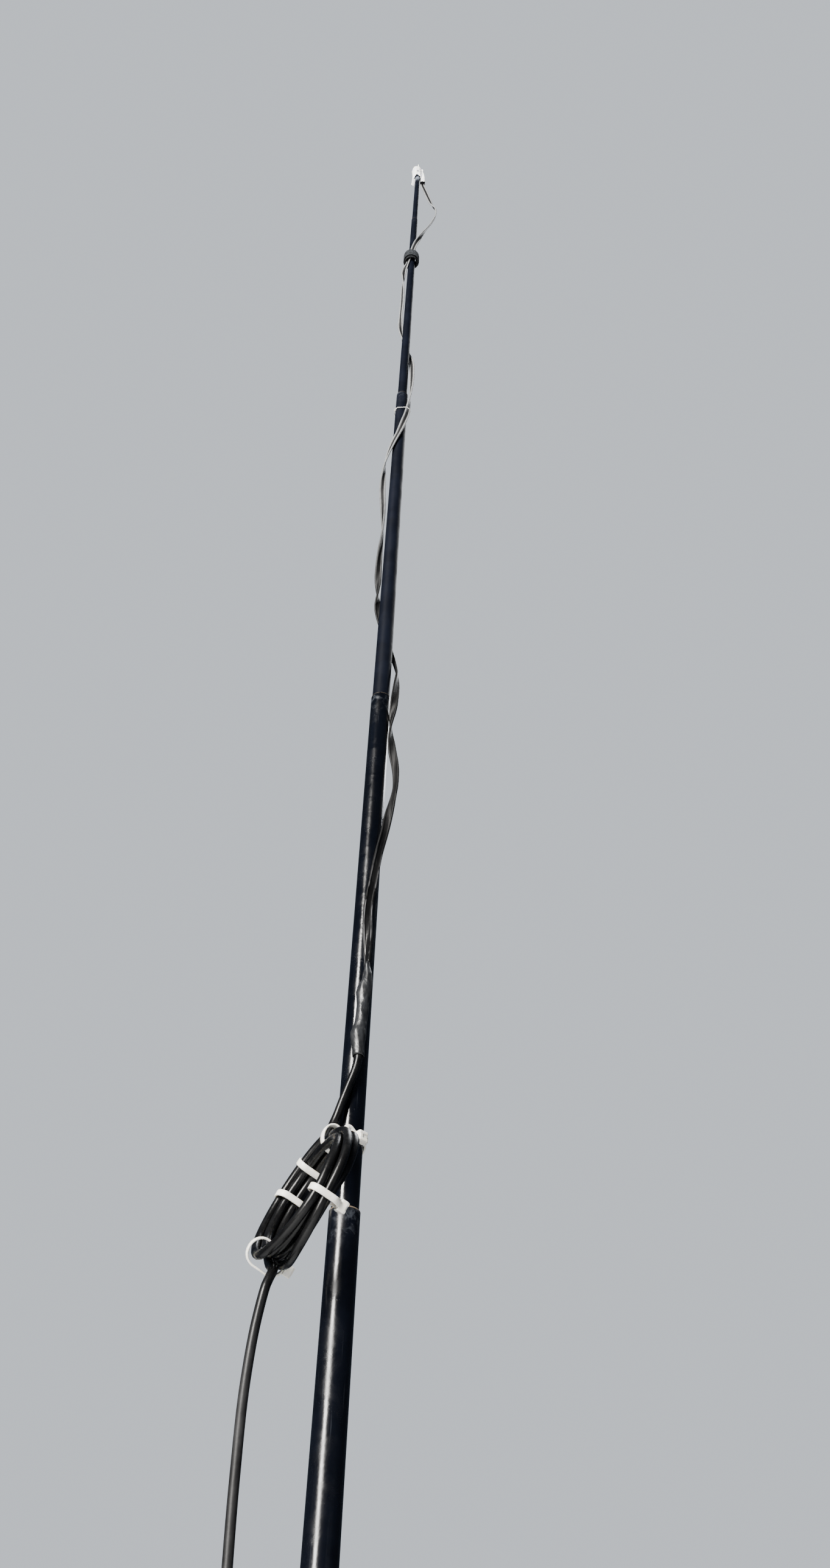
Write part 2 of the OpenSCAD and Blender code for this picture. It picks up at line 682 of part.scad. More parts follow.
// Route of the coaxial cable from the outside of the choke coil's bottom to the ground, where it runs into
// the stored coil
drop_from = 168;
drop_side = 1.5;
drop_start = [
    choke_point(drop_from) + (on_bundle - snug) * choke_out(drop_from) + drop_side * choke_axis,
    [-34.6, -23.8, 1793], [-37.6, -21.8, 1778], [-40.4, -18.6, 1750], [-40.2, -13.6, 1710],
    [-38.6, -9.6, 1660]
];
drop_end = [
    [-37, -6, 1560], [-37, -4, 1400], [-38, -2, 1100], [-40, 0, 800], [-41, 2, 500], [-41, 3, 260],
    [-41, 3, 120], [-41, 1.5, 60], [-41.5, -1, 34], [-42.4, -4, store_top + 0.7]
];
drop_route = concat(drop_start, drop_end);
module coax_drop() {
    color(black_rubber)
        cord(smooth(drop_route, 4), coax_d, 10);
}

// The stored coil and the tie that holds it
module stored_coil() {
    color(black_rubber)
        translate(store_centre)
            rotate_extrude()
                translate([store_r, store_h / 2])
                    polygon(rounded(store_w, store_h, coax_d / 2));
}
store_tie_at = 150;
module stored_coil_tie() {
    outer = [store_w + 2 * (seat + tie_t), store_h + 2 * (seat + tie_t)];
    color(white_nylon)
        translate(store_centre)
            rotate([0, 0, store_tie_at])
                translate([store_r, 0, store_h / 2])
                    rotate([90, 0, 0])
                        linear_extrude(tie_w, center = true)
                            difference() {
                                square(outer, center = true);
                                square([store_w + 2 * seat, store_h + 2 * seat], center = true);
                            }
}

// The cable's end leaves the top of the stored coil and lies across it, and the plug lies on the coil's far
// side. Both are measured from the middle of the coil's top.
plug_at = [-9.5, 12, collar_d / 2 + seat];
tail_z = coax_d / 2 + seat;
tail_route = [
    [11, 27, tail_z], [3, 29.2, tail_z], [-4, 27.5, tail_z + 0.6], [-8.5, 22.5, tail_z + 2.4],
    [-9.5, 16, plug_at[2] - 0.6], plug_at
];
module coax_tail() {
    color(black_rubber)
        translate([store_centre[0], store_centre[1], store_top])
            cord(smooth(tail_route, 3), coax_d, 10);
}

module on_plug(x) {
    translate([store_centre[0], store_centre[1], store_top] + plug_at)
        rotate([0, 0, -90])
            rotate([0, 90, 0])
                translate([0, 0, x])
                    children();
}
module plug_boot() {
    color(black_rubber)
        on_plug(0)
            difference() {
                cylinder(d1 = coax_d + 1.6, d2 = plug_d - 1, h = boot_l);
                translate([0, 0, -1])
                    cylinder(d = coax_d + 2 * seat, h = boot_l + 2);
            }
}
module plug_body() {
    color(nickel)
        on_plug(boot_l)
            difference() {
                cylinder(d = plug_d, h = plug_l);
                translate([0, 0, plug_l - 4])
                    cylinder(d = plug_d - 3, h = 5);
            }
}
module plug_collar() {
    color(nickel)
        on_plug(boot_l + plug_l)
            difference() {
                cylinder(d = collar_d, h = collar_l);
                translate([0, 0, 2])
                    cylinder(d = collar_d - 3, h = collar_l);
                translate([0, 0, -1])
                    cylinder(d = 4, h = 4);
            }
}
module plug_pin() {
    color(gold)
        on_plug(boot_l + plug_l)
            translate([0, 0, -4]) {
                cylinder(d = 3.6, h = 7);
                cylinder(d = 2, h = collar_l);
            }
}

butt_cap();
butt_tube();
second_tube();
third_tube();
fourth_tube();
fifth_tube();
sixth_tube();
seventh_tube();
tip_tube();
tip_plug();
tip_wrap();
tip_tab();
lead_end_sleeve();
twin_lead();
wound_strap();
lead_thread();
feed_sleeve();
coax_lead();
choke_coil();
choke_tie_top();
choke_tie_far_upper();
choke_tie_far_lower();
choke_tie_near();
choke_tie_bottom();
coax_drop();
stored_coil();
stored_coil_tie();
coax_tail();
plug_boot();
plug_body();
plug_collar();
plug_pin();
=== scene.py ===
import math
import bmesh
import bpy
from mathutils import Matrix, Vector, noise


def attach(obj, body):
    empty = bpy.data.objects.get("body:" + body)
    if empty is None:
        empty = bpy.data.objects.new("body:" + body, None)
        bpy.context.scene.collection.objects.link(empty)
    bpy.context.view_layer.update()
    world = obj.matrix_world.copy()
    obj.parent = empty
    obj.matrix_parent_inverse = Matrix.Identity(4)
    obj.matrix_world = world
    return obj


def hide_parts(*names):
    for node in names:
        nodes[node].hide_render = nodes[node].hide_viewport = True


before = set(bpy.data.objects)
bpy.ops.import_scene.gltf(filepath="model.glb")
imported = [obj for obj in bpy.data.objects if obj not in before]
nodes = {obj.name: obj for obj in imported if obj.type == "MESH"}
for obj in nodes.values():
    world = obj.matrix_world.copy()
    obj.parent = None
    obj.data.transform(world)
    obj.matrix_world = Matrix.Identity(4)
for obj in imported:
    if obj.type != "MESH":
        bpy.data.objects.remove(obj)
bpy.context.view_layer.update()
mm = 0.001


# Camera. It stands close to the mast's foot and looks up along it, leaning a little to one side.
camera = bpy.data.objects.new("Camera", bpy.data.cameras.new("Camera"))
bpy.context.scene.collection.objects.link(camera)
bpy.context.scene.camera = camera
camera.data.lens = 27.7
camera.data.clip_start = 0.02
camera_place = (0.029, -0.618, 1.55)
camera_pitch, camera_roll = math.radians(135), math.radians(2.13)
camera_tilt = Matrix.Rotation(camera_pitch, 4, "X") @ Matrix.Rotation(camera_roll, 4, "Z")
camera.matrix_world = Matrix.Translation(camera_place) @ camera_tilt


# Floor, background and lights. A plain pale floor and background, a long narrow light on the left that draws
# a bright line along the lower tubes, and soft ones beside and behind that keep the dark sides readable.
floor_paint = bpy.data.materials.new("floor_paint")
floor_paint.use_nodes = True
paint = floor_paint.node_tree.nodes["Principled BSDF"]
paint.inputs["Base Color"].default_value = (0.72, 0.73, 0.74, 1)
paint.inputs["Roughness"].default_value = 0.7
floor_mesh = bpy.data.meshes.new("Floor")
bm = bmesh.new()
bmesh.ops.create_grid(bm, x_segments=1, y_segments=1, size=4)
bm.to_mesh(floor_mesh)
bm.free()
floor = bpy.data.objects.new("Floor", floor_mesh)
floor_mesh.materials.append(floor_paint)
bpy.context.scene.collection.objects.link(floor)

world = bpy.data.worlds.new("Studio")
bpy.context.scene.world = world
world.use_nodes = True
sky = world.node_tree
backdrop = sky.nodes["Background"]
backdrop.inputs["Color"].default_value = (0.4, 0.5, 0.7, 1)
backdrop.inputs["Strength"].default_value = 0.09
seen = sky.nodes.new("ShaderNodeBackground")
seen.inputs["Color"].default_value = (0.78, 0.83, 0.9, 1)
seen.inputs["Strength"].default_value = 0.9
rays = sky.nodes.new("ShaderNodeLightPath")
either = sky.nodes.new("ShaderNodeMixShader")
sky.links.new(rays.outputs["Is Camera Ray"], either.inputs[0])
sky.links.new(backdrop.outputs[0], either.inputs[1])
sky.links.new(seen.outputs[0], either.inputs[2])
sky.links.new(either.outputs[0], sky.nodes["World Output"].inputs["Surface"])


def soft_light(name, place, target, size, power, colour):
    lamp = bpy.data.lights.new(name, "AREA")
    lamp.shape = "RECTANGLE"
    lamp.size, lamp.size_y = size
    lamp.energy = power
    lamp.color = colour
    holder = bpy.data.objects.new(name, lamp)
    bpy.context.scene.collection.objects.link(holder)
    aim = (Vector(target) - Vector(place)).to_track_quat("-Z", "Y")
    holder.matrix_world = Matrix.Translation(place) @ aim.to_matrix().to_4x4()


soft_light("key_light", (-1.9, -3.3, 3.3), (0, 0, 2.7), (1, 2.8), 800, (1, 0.975, 0.93))
soft_light("sky_light", (-3.2, -1.6, 4.6), (0, 0, 2.4), (3, 5), 3, (0.4, 0.58, 1))
soft_light("fill_light", (2.8, -2.6, 1.4), (0, 0, 2.2), (2, 2), 6, (0.9, 0.95, 1))
soft_light("back_light", (1.5, 2.6, 7.5), (0, 0, 2.2), (3.5, 3.5), 260, (0.95, 0.97, 1))


# Mast tubes. Telescopic tubes of glass fibre in black gloss lacquer, each jammed in the mouth of the one
# below it. The lacquer is scuffed where a tube was pushed in and out, and its mouths are rubbed bare.
def node(tree, kind, sockets=(), **settings):
    """A new shader node, with its settings made and its inputs filled or linked."""
    made = tree.nodes.new("ShaderNode" + kind)
    for name, value in settings.items():
        setattr(made, name, value)
    for name, value in dict(sockets).items():
        if isinstance(value, bpy.types.NodeSocket):
            tree.links.new(value, made.inputs[name])
        else:
            made.inputs[name].default_value = value
    return made


def effect(name, inputs):
    """A new node group with number inputs that puts out a mask, and its two end nodes."""
    tree = bpy.data.node_groups.new(name, "ShaderNodeTree")
    for label, value in inputs:
        tree.interface.new_socket(label, in_out="INPUT", socket_type="NodeSocketFloat").default_value = value
    tree.interface.new_socket("Mask", in_out="OUTPUT", socket_type="NodeSocketFloat")
    return tree, tree.nodes.new("NodeGroupInput").outputs, tree.nodes.new("NodeGroupOutput").inputs


def stretched(tree, scale, x, y, z):
    """The object's coordinates times a scale and a factor for each axis."""
    place = node(tree, "VectorMath", {0: node(tree, "TexCoord").outputs["Object"], 1: (x, y, z)},
                 operation="MULTIPLY")
    return node(tree, "VectorMath", {0: place.outputs[0], "Scale": scale}, operation="SCALE").outputs[0]


def height_on(tree):
    """The height above the ground, in metres."""
    return node(tree, "SeparateXYZ", {0: node(tree, "TexCoord").outputs["Object"]}).outputs["Z"]


def ramp(tree, value, start, end, **settings):
    """A mask that rises from 0 where the value is at the start to 1 where it is at the end."""
    made = node(tree, "MapRange", {"Value": value, "From Min": start, "From Max": end}, **settings)
    return made.outputs[0]


def product(tree, *values):
    """Masks and numbers multiplied."""
    made = values[0]
    for value in values[1:]:
        made = node(tree, "Math", {0: made, 1: value}, operation="MULTIPLY").outputs[0]
    return made


# Cloudy patches, as of dust, handling and uneven gloss
mottled, given, result = effect("mottled", [("Scale", 60), ("Low", 0.42), ("High", 0.62)])
clouds = node(mottled, "TexNoise", {"Vector": stretched(mottled, given["Scale"], 1, 1, 1), "Scale": 1,
                                    "Detail": 5, "Roughness": 0.62, "Distortion": 0.4})
patches = ramp(mottled, clouds.outputs["Fac"], given["Low"], given["High"], interpolation_type="SMOOTHSTEP")
mottled.links.new(patches, result["Mask"])

# Fine scratches that run along the mast
scratched, given, result = effect("scratched", [("Scale", 900), ("Amount", 0.66)])
drawn_out = stretched(scratched, given["Scale"], 1, 1, 0.035)
streaks = node(scratched, "TexNoise", {"Vector": drawn_out, "Scale": 1, "Detail": 3})
scratched.links.new(ramp(scratched, streaks.outputs["Fac"], given["Amount"], 0.78), result["Mask"])

# Small pits and grains
pitted, given, result = effect("pitted", [("Scale", 700), ("Size", 0.2)])
grains = node(pitted, "TexVoronoi", {"Vector": stretched(pitted, given["Scale"], 1, 1, 0.8), "Scale": 1})
pitted.links.new(ramp(pitted, grains.outputs["Distance"], given["Size"], 0.05), result["Mask"])

# Rubbed edges
worn_edge, given, result = effect("worn_edge", [("Low", 0.52), ("High", 0.6)])
edges = ramp(worn_edge, node(worn_edge, "NewGeometry").outputs["Pointiness"], given["Low"], given["High"])
breaks = node(worn_edge, "TexNoise", {"Vector": stretched(worn_edge, 900, 1, 1, 1), "Scale": 1})
worn_edge.links.new(product(worn_edge, edges, breaks.outputs["Fac"]), result["Mask"])


def masked(tree, group, **inputs):
    """The mask that a node group gives with these inputs."""
    return node(tree, "Group", {name.capitalize(): value for name, value in inputs.items()},
                node_tree=group).outputs["Mask"]


def mixed(tree, mask, one, other):
    """A colour or a number that goes from one to the other by the mask."""
    kind, first, second, out = ("RGBA", 6, 7, 2) if isinstance(other, tuple) else ("FLOAT", 2, 3, 0)
    values = [(*v, 1) if isinstance(v, tuple) else v for v in (one, other)]
    return node(tree, "Mix", {0: mask, first: values[0], second: values[1]}, data_type=kind).outputs[out]


def surface(name, colour, dusty, gloss, dull, scale, grain, height, **sockets):
    """A material whose colour and roughness drift in patches over a fine grain, its tree and its shader."""
    material = bpy.data.materials.new(name)
    material.use_nodes = True
    tree = material.node_tree
    shader = tree.nodes["Principled BSDF"]
    for socket, value in sockets.items():
        shader.inputs[socket.replace("_", " ")].default_value = value
    patch = masked(tree, mottled, scale=scale)
    tree.links.new(mixed(tree, patch, colour, dusty), shader.inputs["Base Color"])
    dulled = masked(tree, mottled, scale=scale * 2.3)
    tree.links.new(mixed(tree, dulled, gloss, dull), shader.inputs["Roughness"])
    fine = node(tree, "TexNoise", {"Vector": stretched(tree, grain, 1, 1, 1), "Scale": 1, "Detail": 4})
    bump = node(tree, "Bump", {"Height": fine.outputs["Fac"], "Distance": height})
    tree.links.new(bump.outputs[0], shader.inputs["Normal"])
    return material, tree, shader


def change(shader, name, mask, other):
    """Mixes another colour or number into what a shader's socket has so far."""
    tree, socket = shader.id_data, shader.inputs[name]
    tree.links.new(mixed(tree, mask, socket.links[0].from_socket, other), socket)


def relief(shader, height, distance, **settings):
    """Lays another bump over what a shader's normal has so far."""
    tree, socket = shader.id_data, shader.inputs["Normal"]
    so_far = socket.links[0].from_socket
    made = node(tree, "Bump", {"Height": height, "Distance": distance, "Normal": so_far}, **settings)
    tree.links.new(made.outputs[0], socket)


# Each tube's name, the height of its mouth, its outer radius at its root and at its mouth, and its gloss,
# most of which the upper tubes have lost
tubes = [
    ("butt_tube", 500, 12.2, 12.2, 0.5), ("second_tube", 950, 11.3, 10.9625, 0.5),
    ("third_tube", 1400, 10.0625, 9.725, 0.5), ("fourth_tube", 1843, 8.825, 8.4928, 0.4),
    ("fifth_tube", 2260, 7.5928, 7.4677, 0.5), ("sixth_tube", 2752, 6.7677, 5.919, 0.05),
    ("seventh_tube", 3250, 4.919, 4.0973, 0.03), ("tip_tube", 3423, 3.5973, 3.1994, 0.03),
]
for name, mouth, _, _, gloss in tubes:
    # Near black, with a dark blue base colour that is lighter on the dull upper tubes: a painted navy sheen
    # of the sky
    sheen_tint = Vector((0.7, 0.9, 1.7)) * (0.0036 - 0.0046 * gloss)
    lacquer, tree, shader = surface(name + "_lacquer", tuple(sheen_tint), tuple(1.5 * sheen_tint), 0.5 - 0.75 * gloss,
                                    0.6 - 0.75 * gloss, 26, 380, 0.00007, Specular_IOR_Level=gloss)
    height = height_on(tree)
    near_mouth = ramp(tree, height, (mouth - 26) * mm, mouth * mm, interpolation_type="SMOOTHSTEP")
    rim = ramp(tree, height, (mouth - 0.9) * mm, (mouth - 0.2) * mm)
    scuffs = product(tree, near_mouth, masked(tree, mottled, scale=210, low=0.46, high=0.68),
                     masked(tree, mottled, scale=48, low=0.36, high=0.56))
    scratches = product(tree, masked(tree, scratched), masked(tree, mottled, scale=30))
    pits = product(tree, masked(tree, pitted, scale=1100, size=0.3),
                   masked(tree, mottled, scale=60, low=0.5, high=0.66))
    bare = product(tree, rim, masked(tree, mottled, scale=500, low=0.3, high=0.5))
    change(shader, "Base Color", product(tree, scuffs, 0.6), (0.05, 0.057, 0.07))
    change(shader, "Base Color", product(tree, scratches, 0.35), (0.04, 0.045, 0.055))
    change(shader, "Base Color", product(tree, pits, 0.1), (0.03, 0.034, 0.04))
    change(shader, "Base Color", bare, (0.2, 0.15, 0.1) if name == "fourth_tube" else (0.05, 0.04, 0.03))
    change(shader, "Roughness", scuffs, 0.55)
    change(shader, "Roughness", pits, 0.5)
    marks = node(tree, "Math", {0: pits, 1: scuffs}, operation="ADD").outputs[0]
    relief(shader, marks, 0.000015, invert=True)
    if name == "tip_tube":
        # A pale grey patch just below the hood
        pale_patch = product(tree, ramp(tree, height, 3.394, 3.408),
                        masked(tree, mottled, scale=240, low=0.2, high=0.6))
        change(shader, "Base Color", pale_patch, (0.17, 0.19, 0.23))
    nodes[name].data.materials[0] = lacquer


# Butt cap and tip plug. Moulded black plastic, pressed into the two ends of the mast. Their edges are rubbed
# pale, and the cap is soiled where it stands on the ground.
for name in ("butt_cap", "tip_plug"):
    moulded, tree, shader = surface(name + "_plastic", (0.02, 0.02, 0.022), (0.045, 0.044, 0.042), 0.42, 0.6,
                                    90, 1500, 0.00004)
    change(shader, "Base Color", masked(tree, worn_edge), (0.1, 0.098, 0.095))
    soil = product(tree, ramp(tree, height_on(tree), 0.006, 0), masked(tree, mottled, scale=180))
    change(shader, "Base Color", soil, (0.12, 0.1, 0.08))
    nodes[name].data.materials[0] = moulded


# Twin lead. Two stranded wires side by side in one flat jacket of glossy black plastic, with a bead round
# each wire and a thin web between them. It is wound down the mast from the tip, and twists as it goes.
def smooth_line(points, step):
    """A smooth line through the points, with a point about every step."""
    line = []
    for i in range(len(points) - 1):
        near, far = points[i], points[i + 1]
        span = (far - near).length
        slopes = []
        for a, b, c in ((i - 1, i, i + 1), (i, i + 1, i + 2)):
            if a < 0 or c >= len(points):
                slopes.append(far - near)
                continue
            before, after = (points[b] - points[a]).length, (points[c] - points[b]).length
            slopes.append(span * ((points[b] - points[a]) / before
                                  - (points[c] - points[a]) / (before + after)
                                  + (points[c] - points[b]) / after))
        count = max(1, round(span / step))
        for k in range(count):
            t = k / count
            line.append((2 * t**3 - 3 * t**2 + 1) * near + (t**3 - 2 * t**2 + t) * slopes[0]
                        + (3 * t**2 - 2 * t**3) * far + (t**3 - t**2) * slopes[1])
    return line + [points[-1]]


def framed(line, sides):
    """Stations along a line: the place, the side direction square to the line, and the third direction."""
    stations = []
    for i, place in enumerate(line):
        ahead = (line[min(i + 1, len(line) - 1)] - line[max(i - 1, 0)]).normalized()
        side = (sides[i] - sides[i].dot(ahead) * ahead).normalized()
        stations.append((place, side, ahead.cross(side)))
    return stations


def swept(outlines, stations, closed=False):
    """A skin drawn through the stations, each with its outline in its two directions.

    The vertex attribute across is a point's distance from the middle in the first direction, in mm."""
    skin = bmesh.new()
    across = skin.verts.layers.float.new("across")
    ring = bmesh.ops.create_circle(skin, segments=len(outlines[0]), radius=1)["verts"]
    first = list(skin.edges)
    edges = first
    for i, (station, outline) in enumerate(zip(stations, outlines)):
        if i:
            made = bmesh.ops.extrude_edge_only(skin, edges=edges)["geom"]
            fresh = {v for v in made if isinstance(v, bmesh.types.BMVert)}
            edges = [e for e in made if isinstance(e, bmesh.types.BMEdge) and fresh.issuperset(e.verts)]
            ring = [next(e.other_vert(v) for e in v.link_edges if e.other_vert(v) in fresh) for v in ring]
        place, side, third = station
        for vert, (a, b) in zip(ring, outline):
            vert.co = place + a * side + b * third
            vert[across] = a / mm
    if closed:
        bmesh.ops.bridge_loops(skin, edges=first + edges)
    else:
        bmesh.ops.edgeloop_fill(skin, edges=first)
        bmesh.ops.edgeloop_fill(skin, edges=edges)
    bmesh.ops.recalc_face_normals(skin, faces=skin.faces)
    return skin


def piece(name, skin, material, slot, *replaced):
    """The object of a finished bmesh, which rides on the mast and stands for CAD nodes."""
    mesh = bpy.data.meshes.new(name)
    for face in skin.faces:
        face.smooth = True
    skin.to_mesh(mesh)
    skin.free()
    mesh.materials.append(material)
    made = bpy.data.objects.new(name, mesh)
    bpy.context.scene.collection.objects.link(made)
    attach(made, "root")
    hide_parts(*replaced)
    return made


def facing(turn):
    """The level direction at an angle round the mast."""
    return Vector((math.cos(turn), math.sin(turn), 0))


def off_mast(gap, angle, z):
    """A point off the mast's surface, by its gap from it, its angle round the mast and its height in mm."""
    i = next((k for k, tube in enumerate(tubes) if z < tube[1]), 7)
    root = tubes[i - 1][1] if i else 0
    radius = tubes[i][2] + (tubes[i][3] - tubes[i][2]) * (z - root) / (tubes[i][1] - root) + gap
    return (radius * facing(math.radians(angle)) + Vector((0, 0, z))) * mm


feed_top = 1998
bead_r, bead_at, web_t = 0.9, 2.25, 0.8
# The lead's points on each tube, from the tip downwards: its gap from the mast, its angle round the mast,
# its height in percent of the run between two heights, and the heading of its width
lead_runs = [
    (3250, 3423, [
        (4.2, -22, 75.5, 0), (4.3, -22, 71.5, 0), (5.6, -21, 67, 0), (7.8, -18, 60, 0), (12, -15, 46, 6),
        (15.6, -13, 34.5, 15), (18.2, -12, 26, 40), (23.6, -12, 15.5, 75), (24.4, -12, 4, 100)]),
    (2752, 3250, [
        (19.5, -16, 95.5, 110), (12.5, -25, 89.5, 112), (5.8, -42, 83.8, 60), (2, -66, 79.5, 10),
        (0.3, -92, 75.5, -5), (0.1, -122, 72.6, -32), (0.5, -142, 69.8, -45), (3, -166, 66, -5),
        (3.8, -176, 60, 75), (3.2, -177, 54, 125), (2.6, -177, 46, 136), (2.8, -181, 38, 140),
        (2.2, -204, 32.5, 215), (3, -240, 29, 272), (2.2, -284, 23, 320), (2.4, -333, 17.5, 345),
        (3, -354, 11.5, 345), (3.4, -366, 5, 312)]),
    (2260, 2752, [
        (1.9, -374, 98.5, 275), (1.1, -381, 94.5, 240), (0.7, -396, 90.5, 216), (0.6, -423, 86.3, 192),
        (0.5, -452, 82, 162), (1.6, -492, 77.5, 150), (3.2, -516, 74.3, 128), (5.4, -530, 70, 90),
        (5.6, -538, 66.5, 42), (5.6, -540, 63, 5), (3.4, -540, 55, -40), (1.9, -540, 47.5, -90),
        (2.9, -546, 40.5, -132), (3.2, -556, 34.5, -175), (2.6, -565, 28.9, -268), (3.2, -580, 25.2, -350),
        (2, -612, 20.5, -380), (2.2, -651, 15, -420), (3.2, -684, 10.5, -445), (4.1, -710, 6.5, -460),
        (4, -720, 4, -490)]),
    (feed_top + 0.3, 2260, [
        (3.3, -745, 96, -540), (1, -730, 87, -630), (2.4, -729, 79, -705), (6.4, -728, 68.5, -762),
        (7, -732, 62.6, -775), (5.6, -739, 56, -760), (4, -745, 50.4, -722), (2.5, -751, 44.5, -692),
        (0.6, -768, 36, -688), (0.4, -784, 27.5, -700), (0.5, -799, 16, -712), (2, -794, 8, -742),
        (2.9, -790, 0, -790)]),
]
# The heading goes through the smooth line as a fourth coordinate, a radian for this many metres
radian = 0.004
lead_points = []
for low, high, run in lead_runs:
    for gap, angle, share, heading in run:
        place = off_mast(gap + bead_r, angle, low + (high - low) * share / 100)
        lead_points.append(Vector((*place, math.radians(heading) * radian)))
lead_fine = smooth_line(lead_points, 1.6 * mm)
lead_stations = framed([p.to_3d() for p in lead_fine], [facing(p[3] / radian) for p in lead_fine])
bead = [(bead_at + bead_r * math.cos(math.radians(a)), bead_r * math.sin(math.radians(a)))
        for a in range(-144, 145, 24)]
half = [(0.35, -web_t / 2 * 0.92), (1.1, -web_t / 2)] + bead + [(1.1, web_t / 2), (0.35, web_t / 2 * 0.92)]
lead_outline = [(a * mm, b * mm) for a, b in half] + [(-a * mm, -b * mm) for a, b in half]
lead_skin = swept([lead_outline] * len(lead_stations), lead_stations)
lead_jacket, tree, shader = surface("lead_jacket", (0.003, 0.003, 0.0033), (0.005, 0.005, 0.0052),
                                    0.46, 0.56, 70, 520, 0.00006, Specular_IOR_Level=0.16)
height = height_on(tree)
across_lead = node(tree, "Attribute", attribute_name="across").outputs["Fac"]
from_middle = node(tree, "Math", {0: across_lead}, operation="ABSOLUTE").outputs[0]
# Higher up, painted light: the whole jacket a little lighter and the beads over the wires pale, as sun
# glints
sunlit_up = ramp(tree, height, 2.4, 2.62)
patchy = masked(tree, mottled, scale=150, low=0.3, high=0.6)
glint_patches = node(tree, "MapRange", {"Value": patchy, "To Min": 0.75}).outputs[0]
change(shader, "Base Color", sunlit_up, (0.009, 0.009, 0.0095))
painted_glint = product(tree, sunlit_up, ramp(tree, from_middle, 1, 1.7), glint_patches)
change(shader, "Base Color", painted_glint, (0.21, 0.215, 0.22))
# Low down it is still glossy, and just above the feed sleeve the crests of the beads are painted pale as
# glints
crest = product(tree, ramp(tree, from_middle, 1.85, 2.1), ramp(tree, from_middle, 2.75, 2.4))
painted_crest_glint = product(tree, ramp(tree, height, 2.11, 2.06), crest,
                 masked(tree, mottled, scale=60, low=0.4, high=0.6))
change(shader, "Roughness", ramp(tree, height, 2.12, 2.06), 0.22)
change(shader, "Base Color", painted_crest_glint, (0.085, 0.085, 0.09))
scratches = product(tree, masked(tree, scratched, scale=1400), 0.4)
change(shader, "Base Color", scratches, (0.09, 0.09, 0.09))
piece("lead", lead_skin, lead_jacket, "lead_jacket", "twin_lead")


# Sleeve on the twin lead's upper end. Black shrink tubing over the lead and the foot of the white tab, a
# little uneven where it has shrunk on them.
def band_outline(width, thick, count=8):
    """A flat outline with round ends, in two directions."""
    half = (width - thick) / 2
    turn = [math.pi * k / count - math.pi / 2 for k in range(count + 1)]
    ends = [((half + thick / 2 * math.cos(a)) * mm, thick / 2 * math.sin(a) * mm) for a in turn]
    return ends + [(-a, -b) for a, b in ends]


lead_top = lead_stations[0][0]
across, away = Vector((1, 0, 0)), Vector((0, 1, 0))
sleeve_stations = []
sleeve_outlines = []
for rise, width, thick in (
        (-3.5, 6.9, 2.2), (-3.3, 7.3, 2.6), (-1.8, 7.5, 2.8), (0.2, 7.2, 2.6), (2.2, 7.4, 2.9),
        (4.4, 7.6, 3.0), (6.3, 7.3, 2.8), (7.4, 6.9, 2.6), (7.6, 6.5, 2.3)):
    sleeve_stations.append((lead_top + Vector((0, 0, rise)) * mm, across, away))
    sleeve_outlines.append(band_outline(width, thick))
sleeve_rubber, tree, shader = surface("sleeve_rubber", (0.002, 0.002, 0.0022), (0.003, 0.003, 0.0032),
                                      0.3, 0.36, 180, 900, 0.00008, Specular_IOR_Level=0.03)
sleeve_skin = swept(sleeve_outlines, sleeve_stations)
piece("end_sleeve", sleeve_skin, sleeve_rubber, "shrink_sleeve", "lead_end_sleeve")


# White wrap over the tip. Thin white tape folded over the end of the tip tube as a hood, which is open in
# front and grips the tube behind, with a folded seam on its right and a loose flap on its left.
wrap_tape, tree, shader = surface("wrap_tape", (0.93, 0.94, 0.96), (0.87, 0.89, 0.93), 0.3, 0.5, 120, 260,
                                  0.00015, Subsurface_Weight=0.6, Subsurface_Radius=(0.004, 0.004, 0.005))
folds = node(tree, "TexNoise", {"Vector": stretched(tree, 330, 1, 1, 0.4), "Scale": 1, "Detail": 3,
                                "Distortion": 1.2})
relief(shader, folds.outputs["Fac"], 0.00018)
# A grey smudge on the hood's front
from_smudge = node(tree, "VectorMath", {0: stretched(tree, 1000, 1, 0.4, 0.65), 1: (0.2, -2.8, 2225.6)},
                   operation="DISTANCE").outputs["Value"]
smudged = product(tree, ramp(tree, from_smudge, 2.8, 1),
                  masked(tree, mottled, scale=520, low=0.3, high=0.56))
change(shader, "Base Color", smudged, (0.2, 0.195, 0.225))

hood_top, shoulder_z, hood_rim, hood_r, grip_r = 3447.5, 3440, 3405, 7.1, 3.75


